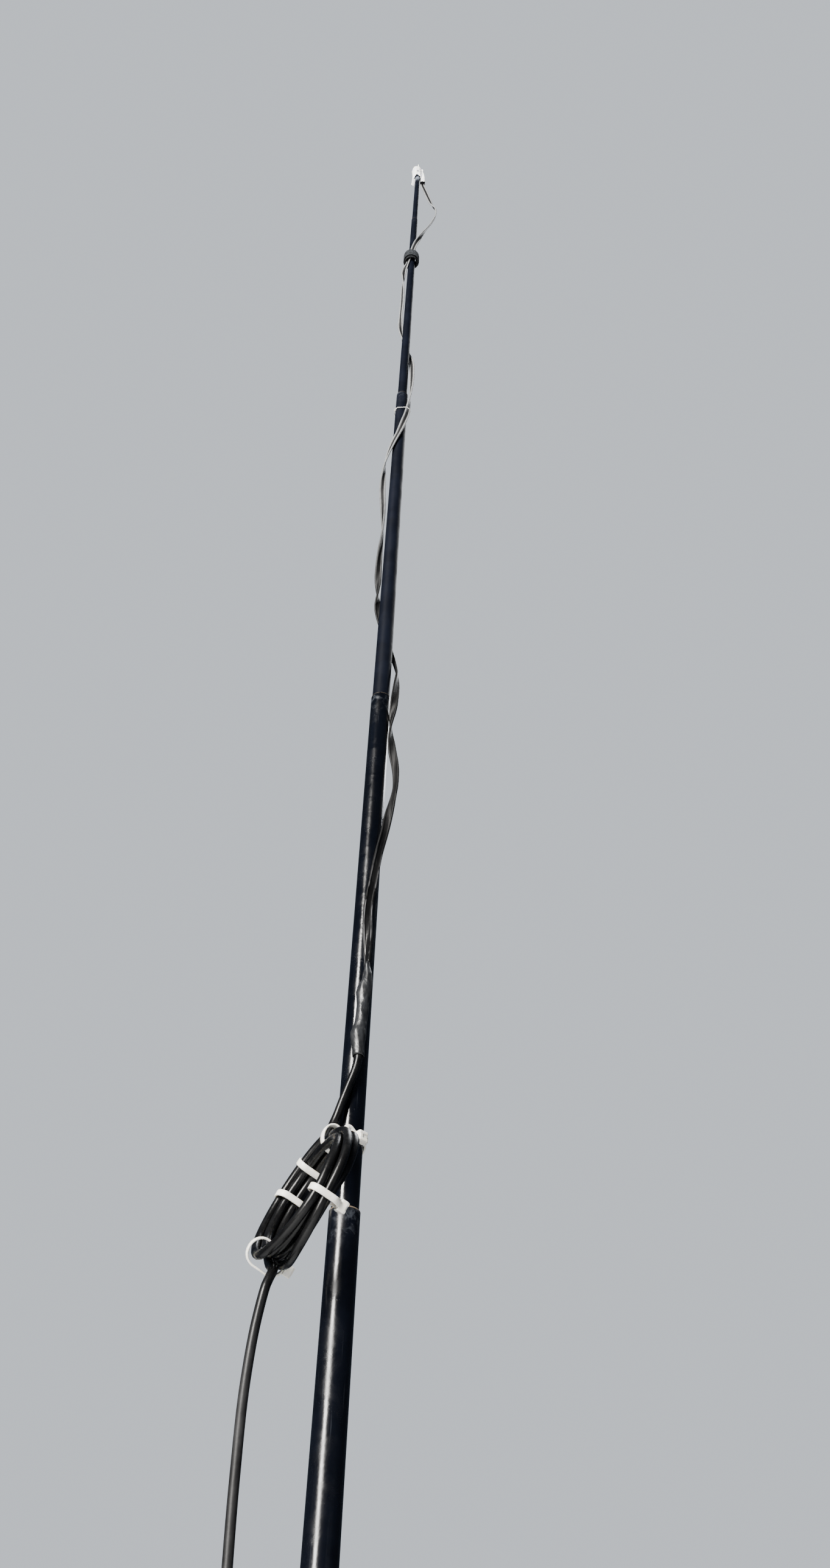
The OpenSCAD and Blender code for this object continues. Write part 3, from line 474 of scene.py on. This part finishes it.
def hood_point(turn, share):
    """A point of the hood, at an angle round the mast and a share of the way from its rim to its top."""
    front = max(0, -math.sin(turn))
    back = max(0, math.sin(turn)) ** 1.5
    # The rim is higher in front and behind, and lowest on the left
    rim = hood_rim + 7 * front ** 1.5 + 10 * back - 2 * max(0, -math.cos(turn)) ** 3
    z = rim + (hood_top - rim) * math.sin(share * math.pi / 2) ** 0.85
    # Round above the shoulder, narrower towards the rim, and behind as tight as the tube
    rise = max(0, (z - shoulder_z) / (hood_top - shoulder_z))
    r = hood_r * math.sqrt(max(0, 1 - rise * rise))
    low = max(0, min(1, (shoulder_z - z) / (shoulder_z - rim)))
    r -= (hood_r - grip_r) * back * low ** 0.8 + 1.5 * (1 - back) * low ** 2
    r -= 1.1 * max(0, math.cos(turn)) ** 3 * (1 - low)
    # Upright flutes, deeper towards the rim, and small crumples
    flutes = (0.25 * math.sin(6 * turn + 2 * share) + 0.12 * math.sin(13 * turn - 3 * share)) * (0.4 + low)
    crumple = noise.fractal(Vector((2.1 * math.cos(turn), 2.1 * math.sin(turn), z / 5)), 1, 2, 4)
    r = max(0.02, r + (flutes + 0.16 * crumple) * min(1, r / 3))
    lean = -1.2 * min(1, (z - hood_rim) / 30) - 0.8 * rise
    return (r * facing(turn) + Vector((lean, 0, z))) * mm


def add_skin(skin, part):
    """Adds a finished skin to another one."""
    mesh = bpy.data.meshes.new("part")
    part.to_mesh(mesh)
    part.free()
    skin.from_mesh(mesh)
    bpy.data.meshes.remove(mesh)


hood_skin = bmesh.new()
bmesh.ops.create_grid(hood_skin, x_segments=96, y_segments=56, size=1)
for vert in hood_skin.verts:
    vert.co = hood_point(math.pi * vert.co.x, (vert.co.y + 1) / 2)
bmesh.ops.remove_doubles(hood_skin, verts=hood_skin.verts, dist=0.02 * mm)
strips = (
    # the loose flap
    [((-5.4, -2.2, 3411), 4.0), ((-5.5, -0.9, 3405), 4.2), ((-5.8, 1.0, 3400), 4.1),
     ((-6.2, 2.4, 3396.5), 4.1), ((-6.6, 3.3, 3394.5), 4.0), ((-7.1, 3.2, 3393.6), 3.7)],
    # the folded seam
    [((5.0, -1.0, 3446), 3.4), ((5.3, -1.4, 3440), 4.2), ((5.1, -1.8, 3431), 3.4), ((4.9, -2.0, 3420), 2.4),
     ((4.6, -1.6, 3411), 1.6)],
    # the wire's twisted end
    [((-0.9, 0, 3446.5), 1.3), ((-0.6, 0.1, 3449.3), 1.1), ((-0.2, 0, 3451.8), 0.9),
     ((0.1, -0.1, 3453.8), 0.6)],
    # a corner of the tape that sticks up in front
    [((0.1, -4.8, 3442), 1.8), ((0.2, -6.0, 3443.6), 1.2), ((0.3, -6.9, 3444.6), 0.9),
     ((0.4, -7.7, 3445.2), 0.8)],
)
for strip, heading in zip(strips, (28, -20, 0, 0)):
    fine = smooth_line([Vector((*p, w)) for p, w in strip], 0.8)
    stations = framed([p.to_3d() * mm for p in fine], [facing(math.radians(heading))] * len(fine))
    add_skin(hood_skin, swept([band_outline(p[3], 0.5) for p in fine], stations))
for vert in hood_skin.verts:
    x, y, z = vert.co / mm
    drift_x = noise.noise(Vector((x / 2, y / 2, z / 3)))
    drift_y = noise.noise(Vector((y / 2, z / 3, x / 2)))
    vert.co += Vector((drift_x, drift_y, 0)) * 0.25 * mm
hood = piece("hood", hood_skin, wrap_tape, "white_tape", "tip_wrap")
thick = hood.modifiers.new("thick", "SOLIDIFY")
thick.thickness = 0.35 * mm
thick.offset = 0


# White tab. The same tape doubled round the twin lead's end. It hangs from the hood's seam, and its foot is
# in the black sleeve.
tab_fine = smooth_line([Vector(p) for p in (
    (6.0, -0.8, 3436, 2.6), (6.9, -0.9, 3430, 3.2), (7.5, -1.3, 3420, 4.2), (7.9, -2.0, 3408, 5.0),
    (8.0, -2.8, 3397, 5.4), (lead_top.x / mm, lead_top.y / mm, 3384.5, 5.6))], 1.2)
tab_sides = [facing(math.radians(-58 + 70 * k / len(tab_fine))) for k in range(len(tab_fine))]
tab_stations = framed([p.to_3d() * mm for p in tab_fine], tab_sides)
tab_outlines = []
for p in tab_fine:
    flat = band_outline(p[3], 1.7)
    tab_outlines.append([(a, b * (1 - 0.45 * math.exp(-(a / mm / 0.6) ** 2))) for a, b in flat])
piece("tab", swept(tab_outlines, tab_stations), wrap_tape, "white_tape", "tip_tab")


# Strap. A hook-and-loop cable strap wound twice round the mast and the twin lead: looped fleece outside and
# hooks inside, with its inner turn pushed down a little.
strap_z, strap_side = 3102.1, math.radians(-131)
strap_middle = 1.5 * facing(strap_side)
strap_r, strap_t, strap_pitch, strap_turns = 6.63, 1.3, 1.62, 2.1
strap_stations = []
strap_outlines = []
strap_count = 150
for k in range(strap_count + 1):
    share = k / strap_count
    turn = strap_side + math.pi + strap_turns * 2 * math.pi * share
    # The lower and the upper edge, which both rise from the inner to the outer turn
    low, high = 9 * max(0, share - 0.25) ** 1.1, 19.2 + 1.6 * share
    r = strap_r + strap_pitch * strap_turns * share + 0.12 * math.sin(5 * turn) * share
    place = strap_middle + r * facing(turn) + Vector((0, 0, strap_z + (low + high) / 2))
    strap_stations.append((place * mm, Vector((0, 0, 1)), facing(turn)))
    strap_outlines.append(band_outline(high - low, strap_t, 4))
strap_skin = swept(strap_outlines, strap_stations)
long_edges = [e for e in strap_skin.edges if e.calc_length() > 5 * mm]
bmesh.ops.subdivide_edges(strap_skin, edges=long_edges, cuts=15, use_grid_fill=True)
for vert in strap_skin.verts:
    from_axis = Vector((vert.co.x, vert.co.y, 0))
    outwards = from_axis - strap_middle * mm
    vert.co += outwards.normalized() * 0.16 * noise.fractal(vert.co / mm * 0.9, 1, 2, 3) * mm
    # Pulled tight, the first turn's upper edge closes in on the mast on both sides of the lead
    from_axis = Vector((vert.co.x, vert.co.y, 0))
    heading = math.atan2(outwards.y, outwards.x) - strap_side
    first_turn = ((heading - math.pi) % (2 * math.pi)) / (2 * math.pi)
    inner = min(1, max(0, (strap_r + 0.95 + strap_pitch * first_turn - outwards.length / mm) / 0.5))
    upper = min(1, max(0, (vert.co.z / mm - strap_z - 8) / 8))
    aside = min(1, 1.6 * abs(math.sin(heading)))
    room = max(0, from_axis.length - 4.4 * mm)
    vert.co -= from_axis.normalized() * min(room, 2.6 * mm) * inner * upper * aside
fleece, tree, shader = surface("strap_fleece", (0.009, 0.0095, 0.0105), (0.025, 0.027, 0.03), 0.7, 0.95,
                               420, 2600, 0.0012, Specular_IOR_Level=0.1)
from_middle = node(tree, "VectorMath", {0: stretched(tree, 1000, 1, 1, 0), 1: tuple(strap_middle)},
                   operation="DISTANCE").outputs["Value"]
outer_turn = ramp(tree, from_middle, 9, 10.2)
washed = product(tree, outer_turn, masked(tree, mottled, scale=700, low=0.3, high=0.6))
change(shader, "Base Color", washed, (0.055, 0.061, 0.068))
loops = masked(tree, pitted, scale=1500, size=0.45)
change(shader, "Base Color", product(tree, loops, outer_turn, 0.6), (0.01, 0.0105, 0.0115))
relief(shader, loops, 0.0006, invert=True)
piece("strap", strap_skin, fleece, "strap_fabric", "wound_strap")


# Thread. White two-ply cotton, pulled tight round the mast and the twin lead, and tied on the left with a
# small knot whose two ends are cut short.
thread_z, thread_lead, thread_knot = 2714.6, math.radians(-28), math.radians(205)


def thread_place(turn):
    """The thread's middle line, at an angle round the mast."""
    reach = 6.95 + 3.1 * max(0, math.cos(turn - thread_lead)) ** 5
    rise = 0.7 * math.sin(2 * turn + 0.5) + 0.35 * math.sin(5 * turn)
    return reach * facing(turn) + Vector((0, 0, thread_z + rise))


def knot_place(turn):
    """An overhand knot: a trefoil, small against the ring that it closes."""
    trefoil = Vector((math.sin(turn) + 2 * math.sin(2 * turn), -math.sin(3 * turn),
                      math.cos(turn) - 2 * math.cos(2 * turn)))
    heading = Matrix.Rotation(thread_knot + math.pi / 2, 3, "Z")
    return thread_place(thread_knot) + heading @ trefoil * 0.34


def ring_frame(ring, k):
    """The direction of a closed line at one of its points, and the upward direction square to it."""
    ahead = (ring[(k + 1) % len(ring)] - ring[k - 1]).normalized()
    return ahead, (Vector((0, 0, 1)) - ahead.z * ahead).normalized()


thread_skin = bmesh.new()
fibre_r, ply_r = 0.27, 0.23
fibre = [tuple(fibre_r * mm * facing(a * math.pi / 4))[:2] for a in range(8)]
for route, count, twists in ((thread_place, 220, 26), (knot_place, 90, 8)):
    core = [route(2 * math.pi * k / count) for k in range(count)]
    for ply in (0, math.pi):
        line = []
        for k, place in enumerate(core):
            ahead, up = ring_frame(core, k)
            twist = 2 * math.pi * twists * k / count + ply
            line.append((place + ply_r * (math.cos(twist) * up + math.sin(twist) * ahead.cross(up))) * mm)
        stations = []
        for k, place in enumerate(line):
            ahead, up = ring_frame(line, k)
            stations.append((place, up, ahead.cross(up)))
        add_skin(thread_skin, swept([fibre] * count, stations, closed=True))
# Its two cut ends
start = thread_place(thread_knot)
for end in (Vector((-0.9, -1.4, -0.9)), Vector((-1.5, -0.2, -0.4))):
    bowed = start + end * 0.5 + Vector((0.3, 0, 0.4))
    fine = smooth_line([start * mm, bowed * mm, (start + end) * mm], 0.4 * mm)
    stations = framed(fine, [Vector((0.3, 0.9, 0.2))] * len(fine))
    add_skin(thread_skin, swept([fibre] * len(fine), stations))
cotton, tree, shader = surface("cotton", (0.8, 0.8, 0.77), (0.6, 0.59, 0.55), 0.75, 0.95, 600, 5200, 0.0003,
                               Sheen_Weight=0.2)
piece("thread", thread_skin, cotton, "white_thread", "lead_thread")


# Feed sleeve. Black shrink tubing over the two solder joints between the twin lead and the coaxial cable. It
# bulges over the joints, has wrinkled between them, and ends in an open lip round the cable.
feed_exit = Vector((2, -11.17, 1932))
feed_end = lead_stations[-1][0] / mm
feed_length = 66
# Height above the sleeve's lower end, width across and depth; the first rows are the inside of the lip
feed_profile = [
    (4, 5.1, 5.1), (1.2, 5.5, 5.5), (0.3, 6.1, 6.1), (0, 6.5, 6.5), (0.1, 6.9, 6.9), (0.6, 7.2, 7.2),
    (3, 7.3, 7.3), (7, 7.5, 7.5), (10, 8.1, 8.0), (13, 9.3, 8.9), (15.5, 9.4, 9.0), (18.5, 8.3, 8.2),
    (22, 7.7, 7.8), (27, 7.5, 7.7), (32, 7.5, 7.8), (37, 7.7, 8.0), (40.5, 8.9, 8.6), (44, 9.7, 9.1),
    (47.5, 9.3, 9.2), (51, 8.0, 8.8), (54.5, 6.4, 8.3), (58, 5.3, 7.9), (62, 4.1, 7.7), (65, 3.3, 7.5),
    (66, 2.6, 7.1), (66.2, 2, 6.6),
]
# How far it leans to the right at some heights
feed_lean = [(0, 0), (14, -0.9), (22, 0.1), (31, 0.6), (40, 0.4), (47, 0.6), (55, 1.3), (66, 0)]
feed_fine = smooth_line([Vector((z, w, d)) for z, w, d in feed_profile], 0.8)
feed_stations = []
feed_outlines = []
for z, width, depth in feed_fine:
    t = max(0, min(1, z / feed_length))
    k = next((i for i in range(1, len(feed_lean)) if z <= feed_lean[i][0]), len(feed_lean) - 1)
    (low, lean_low), (high, lean_high) = feed_lean[k - 1:k + 1]
    share = max(0, min(1, (z - low) / (high - low)))
    lean = lean_low + (lean_high - lean_low) * (3 * share**2 - 2 * share**3)
    middle = feed_exit.lerp(feed_end, max(0, (t - 0.5) * 2) ** 1.4)
    place = Vector((middle.x + lean, middle.y - (depth - 7.4) * 0.4 * (1 - t), feed_exit.z + z))
    ring = []
    for a in range(40):
        turn = 2 * math.pi * a / 40
        x, y, _ = facing(turn)
        crease = noise.fractal(Vector((x * 1.3, y * 1.3, z / 8)), 1, 2, 3) * min(1, z / 8)
        pleat = 0.16 * math.sin(7 * turn + z / 5) * math.exp(-((z - 52) / 9) ** 2)
        grow = 0.3 * crease + pleat
        ring.append(((width / 2 + grow) * x * mm, (depth / 2 + grow) * y * mm))
    feed_stations.append((place * mm, across, away))
    feed_outlines.append(ring)
feed_rubber, tree, shader = surface("feed_rubber", (0.009, 0.0095, 0.0105), (0.017, 0.018, 0.02),
                                    0.3, 0.44, 110, 700, 0.00006)
wrinkles = node(tree, "TexNoise", {"Vector": stretched(tree, 150, 1, 1, 0.6), "Scale": 1, "Detail": 3,
                                   "Distortion": 0.6})
relief(shader, wrinkles.outputs["Fac"], 0.0008)
piece("feed_tubing", swept(feed_outlines, feed_stations), feed_rubber, "shrink_sleeve", "feed_sleeve")


# Coaxial cable, 5 mm thick, in a black jacket. It leaves the feed sleeve, is wound into a choke of four and
# a half turns on the left of the mast, and drops to the ground, where the rest of it lies in a neat coil.
coax_d = 0.005
choke_centre = Vector((-18.9, -17.6, 1845.3))
choke_high, choke_wide, choke_w, choke_t = 37.8, 33.5, 15.4, 9.6
choke_lean, choke_heading = math.radians(18.7), math.radians(120)
choke_far = facing(choke_heading)
choke_side = facing(choke_heading + math.pi / 2)
choke_up = Vector((0, 0, math.cos(choke_lean))) - math.sin(choke_lean) * choke_side
choke_axis = choke_up.cross(choke_far)


def choke_out(angle):
    """The direction outwards from the choke's oval, at an angle from its top."""
    turn = math.radians(angle)
    return (math.cos(turn) / choke_high * choke_up + math.sin(turn) / choke_wide * choke_far).normalized()


def choke_point(angle, left=0, out=0):
    """A point of the choke, by its angle from the top and its place across the bundle, in mm."""
    turn = math.radians(angle)
    middle = choke_centre + choke_high * math.cos(turn) * choke_up + choke_wide * math.sin(turn) * choke_far
    return middle + out * choke_out(angle) + left * choke_axis


# At some angles: how far the bundle is off its middle line, and where each turn lies in it, both to the left
# and outwards
choke_marks = [
    (43, (-2.4, -1.4), [(5.15, 2.15), (2.6, -2.2), (-2.6, -2.2), (-5.15, 2.15), (0, 2.2)]),
    (75, (-1.7, -0.5), [(5.15, 2.15), (2.6, -2.2), (-2.6, -2.2), (-5.15, 2.15), (0, 2.2)]),
    (115, (-0.9, 0), [(6.0, 2.2), (3.1, -2.1), (-2.2, -2.4), (-5.6, 2), (0, 2.7)]),
    (145, (-0.3, 0), [(6.9, 2.4), (3.2, -1.5), (-1.8, -2.3), (-6.6, 1.0), (-1.9, 3.1)]),
    (168, (0, 0), [(7.1, 3.4), (2.8, -0.3), (-2.3, -1.7), (-7, 0.4), (-2.2, 5.2)]),
    (205, (0, 0), [(6.1, 2.6), (1.9, -1.1), (-3.2, -2.3), (-2.9, 3.0)]),
    (244, (0, 0), [(5.15, 2.1), (2.6, -2.2), (-2.6, -2.2), (0, 2.2)]),
    (275, (0, 0), [(5.2, -0.6), (0.9, -2.6), (-4.3, -0.9), (0.4, 2.5)]),
    (305, (0, -1), [(3.6, -2.5), (-1.4, -2.7), (-3.6, 2.0), (1.2, 2.2)]),
    (350, (0, -6.9), [(2.4, -2.4), (-2.4, -2.4), (-2.4, 2.4), (2.4, 2.4)]),
    (370, (-0.8, -6.6), [(2.6, -2.2), (-2.6, -2.2), (-3.4, 2.6), (1.6, 2.6)]),
]
# The cable's angle and its place in the bundle, from where it comes in outside the other turns
choke_stations = [Vector((16, 1.2, 4.6)), Vector((29, 2.2, 2.2))]
for turn in range(5):
    choke_stations += [Vector((360 * turn + angle, shift[0] + places[turn][0], shift[1] + places[turn][1]))
                       for angle, shift, places in choke_marks
                       if turn < len(places) and (turn < 4 or angle < 170)]
lead_in = [feed_exit + Vector(p) for p in (
    (0, 0, 3.9), (0, 0, -2), (-1.2, 0.1, -9), (-3.9, 0.4, -18), (-7.2, 0.9, -29), (-10.6, 2.2, -40))]
drop = [Vector(p) for p in (
    (-35, -23.4, 1793), (-37.6, -21.8, 1778), (-40, -18.6, 1750), (-40.2, -13.6, 1710), (-38.6, -9.6, 1660),
    (-37, -6, 1560), (-37, -4, 1400), (-38, -2, 1100), (-40, 0, 800), (-41, 2, 500), (-41, 3, 260),
    (-41.2, 1, 150), (-41.5, -5, 95), (-42, -12, 60), (-42.6, -15.8, 30), (-43, -13.5, 20.5),
    (-43.8, -8.5, 14.8))]
# The stored coil: its middle on the ground, the radius and height of each turn's place in the winding, in
# the order in which the cable fills them, and the angle at which it goes over to the next place
store_centre = Vector((-71, 0, 0))
store_places = [(26.4, 12.5), (21.3, 12.5), (23.9, 8.1), (21.3, 3.7), (26.4, 3.7), (29, 8.1), (31.6, 3.7),
                (36.7, 3.7), (34.1, 8.1), (36.7, 12.5), (31.6, 12.5)]
store_shift = [320 - 22 * k for k in range(10)]
store_end = 3645
store_line = []
for angle in range(0, store_end + 1, 9):
    turn, rest = divmod(angle, 360)
    start = store_places[turn]
    after = store_places[min(turn + 1, 10)]
    share = 0 if turn == 10 else min(1, max(0, (rest - store_shift[turn]) / 40 + 0.5))
    share = share * share * (3 - 2 * share)
    radius, height = (a + (b - a) * share for a, b in zip(start, after))
    store_line.append(store_centre + radius * facing(math.radians(angle)) + Vector((0, 0, height)))
tail = [store_centre + Vector(p) for p in (
    (17.5, 27.5, 14.6), (11, 29.6, 17), (3, 30.2, 17.8), (-4, 27.8, 18.4), (-8.5, 22.5, 20.2),
    (-9.5, 16, 22), (-9.5, 12, 22.65))]
choke_line = [choke_point(*p) for p in smooth_line(choke_stations, 8)]
coax_route = [p * mm for p in smooth_line(lead_in + choke_line + drop + store_line + tail, 4)]
coax_curve = bpy.data.curves.new("coax", "CURVE")
coax_curve.dimensions = "3D"
coax_curve.bevel_depth = coax_d / 2
coax_curve.bevel_resolution = 4
coax_curve.use_fill_caps = True
spline = coax_curve.splines.new("POLY")
spline.points.add(len(coax_route) - 1)
for point, place in zip(spline.points, coax_route):
    point.co = (*place, 1)
coax = bpy.data.objects.new("coax", coax_curve)
bpy.context.scene.collection.objects.link(coax)
coax_jacket, tree, shader = surface("coax_jacket", (0.002, 0.002, 0.0022), (0.0045, 0.0045, 0.0047),
                                    0.26, 0.32, 80, 620, 0.00005, Specular_IOR_Level=0.3)
# Below the choke the jacket is duller
below = ramp(tree, height_on(tree), 1.8, 1.74)
change(shader, "Roughness", below, 0.5)
dust = product(tree, below, masked(tree, mottled, scale=34, low=0.3, high=0.7))
change(shader, "Base Color", dust, (0.022, 0.022, 0.023))
coax_curve.materials.append(coax_jacket)
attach(coax, "root")
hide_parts("coax_lead", "choke_coil", "coax_drop", "stored_coil", "coax_tail")


# Cable ties. White nylon ties round the choke, the mast and the stored coil: a flat band whose cut end comes
# out of a square head with the latch in its window.
nylon, tree, shader = surface("nylon", (0.88, 0.86, 0.79), (0.8, 0.77, 0.68), 0.34, 0.5, 150, 900, 0.00008,
                              Subsurface_Weight=0.35, Subsurface_Radius=(0.004, 0.0035, 0.0025))
change(shader, "Base Color", masked(tree, worn_edge, low=0.5, high=0.62), (0.93, 0.92, 0.88))
change(shader, "Base Color", masked(tree, mottled, scale=520, low=0.58, high=0.7), (0.72, 0.69, 0.6))
tie_w, tie_t, tie_room = 3.6, 1.1, 0.4
head_w, head_h, head_seat = 6.2, 4.6, 0.5


def tie_block(skin, place, run, outward, size, bevel, taper=1):
    """A bevelled block with its length along run and its height along outward, from the place upwards."""
    side = outward.cross(run)
    turned = Matrix((run, side, outward)).transposed().to_4x4()
    grown = Matrix.Diagonal((*Vector(size) * mm, 1))
    shape = Matrix.Translation(place * mm) @ turned @ grown @ Matrix.Translation((0, 0, 0.5))
    verts = bmesh.ops.create_cube(skin, size=1, matrix=shape)["verts"]
    for vert in verts:
        inside = vert.co - place * mm
        if inside.dot(run) > 0:
            vert.co -= side * inside.dot(side) * (1 - taper)
    edges = {e for v in verts for e in v.link_edges}
    bmesh.ops.bevel(skin, geom=list(edges), offset=bevel * mm, segments=3, profile=0.6, affect="EDGES",
                    material=-1)


def tie_head(skin, place, run, outward, tail):
    """The head and the cut end: the band runs along run, and the head stands on its outer face."""
    run, outward = run.normalized(), outward.normalized()
    side = outward.cross(run)
    # A low body, a wall on each side of its window, and the bar behind that
    tie_block(skin, place, run, outward, (head_w, head_w, head_h - 0.5), 0.7)
    for way in (-1, 1):
        wall = place + way * side * (head_w / 2 - 1.1)
        tie_block(skin, wall, run, outward, (head_w - 0.3, 1.8, head_h), 0.5)
    tie_block(skin, place - run * 1.5, side, outward, (4.4, 2, head_h - 0.1), 0.4)
    cut_end = place + run * (head_w / 2 + tail / 2 - 0.4) + outward
    tie_block(skin, cut_end, run, outward, (tail + 0.8, tie_w, tie_t), 0.25, 0.94)


def tie_band(stations, closed=True):
    """The band along stations whose third direction is its outside."""
    w, t, edge = tie_w / 2, tie_t / 2, 0.25
    outline = [(w, edge - t), (w, t - edge), (w - edge, t), (edge - w, t),
               (-w, t - edge), (-w, edge - t), (edge - w, -t), (w - edge, -t)]
    return swept([[(a * mm, b * mm) for a, b in outline]] * len(stations), stations, closed)


def loop_stations(middle, out, width_way, run, width, depth):
    """Stations round a bundle: a rectangle with round corners, in the plane of out and width_way."""
    radius = tie_t / 2 + min(width, depth) / 2 - 0.4
    to_out = (depth / 2 + tie_t / 2 - radius) * out
    to_side = (width / 2 + tie_t / 2 - radius) * width_way
    stations = []
    for corner, (a, b) in enumerate(((1, 1), (-1, 1), (-1, -1), (1, -1))):
        for k in range(8):
            turn = math.pi / 2 * (corner + k / 7)
            outward = math.cos(turn) * out + math.sin(turn) * width_way
            place = middle + a * to_out + b * to_side + radius * outward
            stations.append((place * mm, run, outward))
    return stations


def choke_tie(name, angle, width, head_on, shift=(0, 0), slack=0):
    """A tie round the choke at an angle, with its head on the outside or on the mast's side."""
    out = choke_out(angle)
    run = choke_axis.cross(out)
    middle = choke_point(angle, *shift)
    depth = choke_t + tie_room + 2 * slack
    width = width + tie_room + 2 * slack
    skin = tie_band(loop_stations(middle, out, choke_axis, run, width, depth))
    if head_on == "out":
        tie_head(skin, middle + out * (depth / 2 + head_seat) - choke_axis, -choke_axis, out, 4)
    else:
        tie_head(skin, middle - choke_axis * (width / 2 + head_seat), -out, -choke_axis, 4)
    piece(name, skin, nylon, "natural_nylon", "choke_" + name)


def bundle_width(angle):
    """The choke's width at an angle: the top tie gathers it, and its turns fan out at the bottom."""
    turn = math.radians(angle)
    return choke_w - 5.2 * max(0, math.cos(turn - math.radians(9))) ** 6 + 3 * max(0, -math.cos(turn)) ** 6


choke_tie("tie_far_upper", 43, choke_w, "out", (-2.4, -1.4))
choke_tie("tie_far_lower", 75, choke_w, "out", (-1.7, -0.5))
choke_tie("tie_near", -116, choke_w, "side")
choke_tie("tie_bottom", 152, bundle_width(152), "side", (1.2, 1.2), 1.6)

# The top tie: out of its head, over and round the bundle, and back behind the mast. Its places are a gap
# from the mast, an angle round it and a height above the fourth tube's mouth.
rig_z, top_at, top_head_at, top_head_rise = 1843, -5, -48, 40
top_places = [(1.2, -60, 40), (1.6, -78, 42), (3.4, -93, 43.8)]
back_places = [(3.4, 216, 28.5), (1.2, 190, 30.2), (1.2, 140, 32.5), (1.2, 96, 35), (1.2, 54, 37),
               (1.2, 15, 39), (1.2, -12, 40), (1.2, -36, 40)]


def rigged(places):
    """Each place in mm, with the direction that the tie's outer face has there."""
    return [(off_mast(gap, angle, rig_z + rise) / mm, facing(math.radians(angle)))
            for gap, angle, rise in places]


bundle_reach = 6.05
round_bundle = []
for angle in (110, 70, 30, -10, -50, -90):
    turn = math.radians(angle)
    outward = math.cos(turn) * choke_axis + math.sin(turn) * choke_out(top_at)
    end = (bundle_width(top_at) - choke_t) / 2 * (-1 if angle > 90 else 1)
    # The gathered bundle lies inside the choke's oval, and its inner side deeper still
    sag = 2.7 * min(0, math.sin(turn)) - 2.2
    round_bundle.append((choke_point(top_at, end, sag) + bundle_reach * outward, outward))
top_route = rigged(top_places) + round_bundle + rigged(back_places)
top_line = smooth_line([p for p, _ in top_route], 1)
top_sides = []
for p in top_line:
    near = sorted(top_route, key=lambda item: (item[0] - p).length)[:2]
    weights = [1 / ((item[0] - p).length + 0.1) for item in near]
    top_sides.append((near[0][1] * weights[0] + near[1][1] * weights[1]).normalized())
top_stations = []
for p, out, third in framed(top_line, top_sides):
    top_stations.append((p * mm, third, out))
top_skin = tie_band(top_stations, closed=False)
head_turn = math.radians(top_head_at)
tie_head(top_skin, off_mast(0.1, top_head_at, rig_z + top_head_rise) / mm, facing(head_turn + math.pi / 2),
         facing(head_turn), 2)
piece("tie_top", top_skin, nylon, "natural_nylon", "choke_tie_top")

# The stored coil's tie
store_out, upwards = facing(math.radians(150)), Vector((0, 0, 1))
store_reach, store_rise, store_high, store_deep = 29, 8.2, 14.2, 20.4
store_middle = store_centre + store_reach * store_out + store_rise * upwards
store_run = upwards.cross(store_out)
store_skin = tie_band(loop_stations(store_middle, store_out, upwards, store_run, store_high, store_deep))
tie_head(store_skin, store_middle + store_out * (store_deep / 2 + head_seat), -upwards, store_out, 3)
piece("stored_tie", store_skin, nylon, "natural_nylon", "stored_coil_tie")


# Plug. A bayonet plug on the cable's end, with a nickel-plated body and collar, a gold-plated pin and a
# ribbed rubber boot.
def plated(name, colour, knurled):
    """A plated metal, with a knurl of straight teeth round the plug's middle line or without."""
    dulled = tuple(0.8 * c for c in colour)
    metal, tree, shader = surface(name, colour, dulled, 0.16, 0.34, 300, 2400, 0.00002, Metallic=1)
    if knurled:
        plug_x, plug_z, teeth = -80.5 * mm, 22.65 * mm, 36
        place = node(tree, "SeparateXYZ", {0: node(tree, "TexCoord").outputs["Object"]}).outputs
        dx = node(tree, "Math", {0: place["X"], 1: plug_x}, operation="SUBTRACT").outputs[0]
        dz = node(tree, "Math", {0: place["Z"], 1: plug_z}, operation="SUBTRACT").outputs[0]
        angle = node(tree, "Math", {0: dz, 1: dx}, operation="ARCTAN2").outputs[0]
        ridges = node(tree, "Math", {0: product(tree, angle, teeth)}, operation="SINE").outputs[0]
        relief(shader, ridges, 0.00025)
    tarnish = masked(tree, mottled, scale=420, low=0.55, high=0.75)
    change(shader, "Base Color", tarnish, tuple(0.45 * c for c in colour))
    return metal


nodes["plug_body"].data.materials[0] = plated("nickel", (0.66, 0.65, 0.61), False)
nodes["plug_collar"].data.materials[0] = plated("nickel_knurled", (0.66, 0.65, 0.61), True)
nodes["plug_pin"].data.materials[0] = plated("gold", (0.83, 0.6, 0.24), False)
boot, tree, shader = surface("boot_rubber", (0.014, 0.014, 0.014), (0.035, 0.034, 0.033), 0.5, 0.7,
                             200, 1500, 0.0001)
ribs = node(tree, "TexWave", {"Vector": stretched(tree, 1, 0, 1, 0), "Scale": 100}, bands_direction="Y")
relief(shader, ribs.outputs["Fac"], 0.0008)
nodes["plug_boot"].data.materials[0] = boot
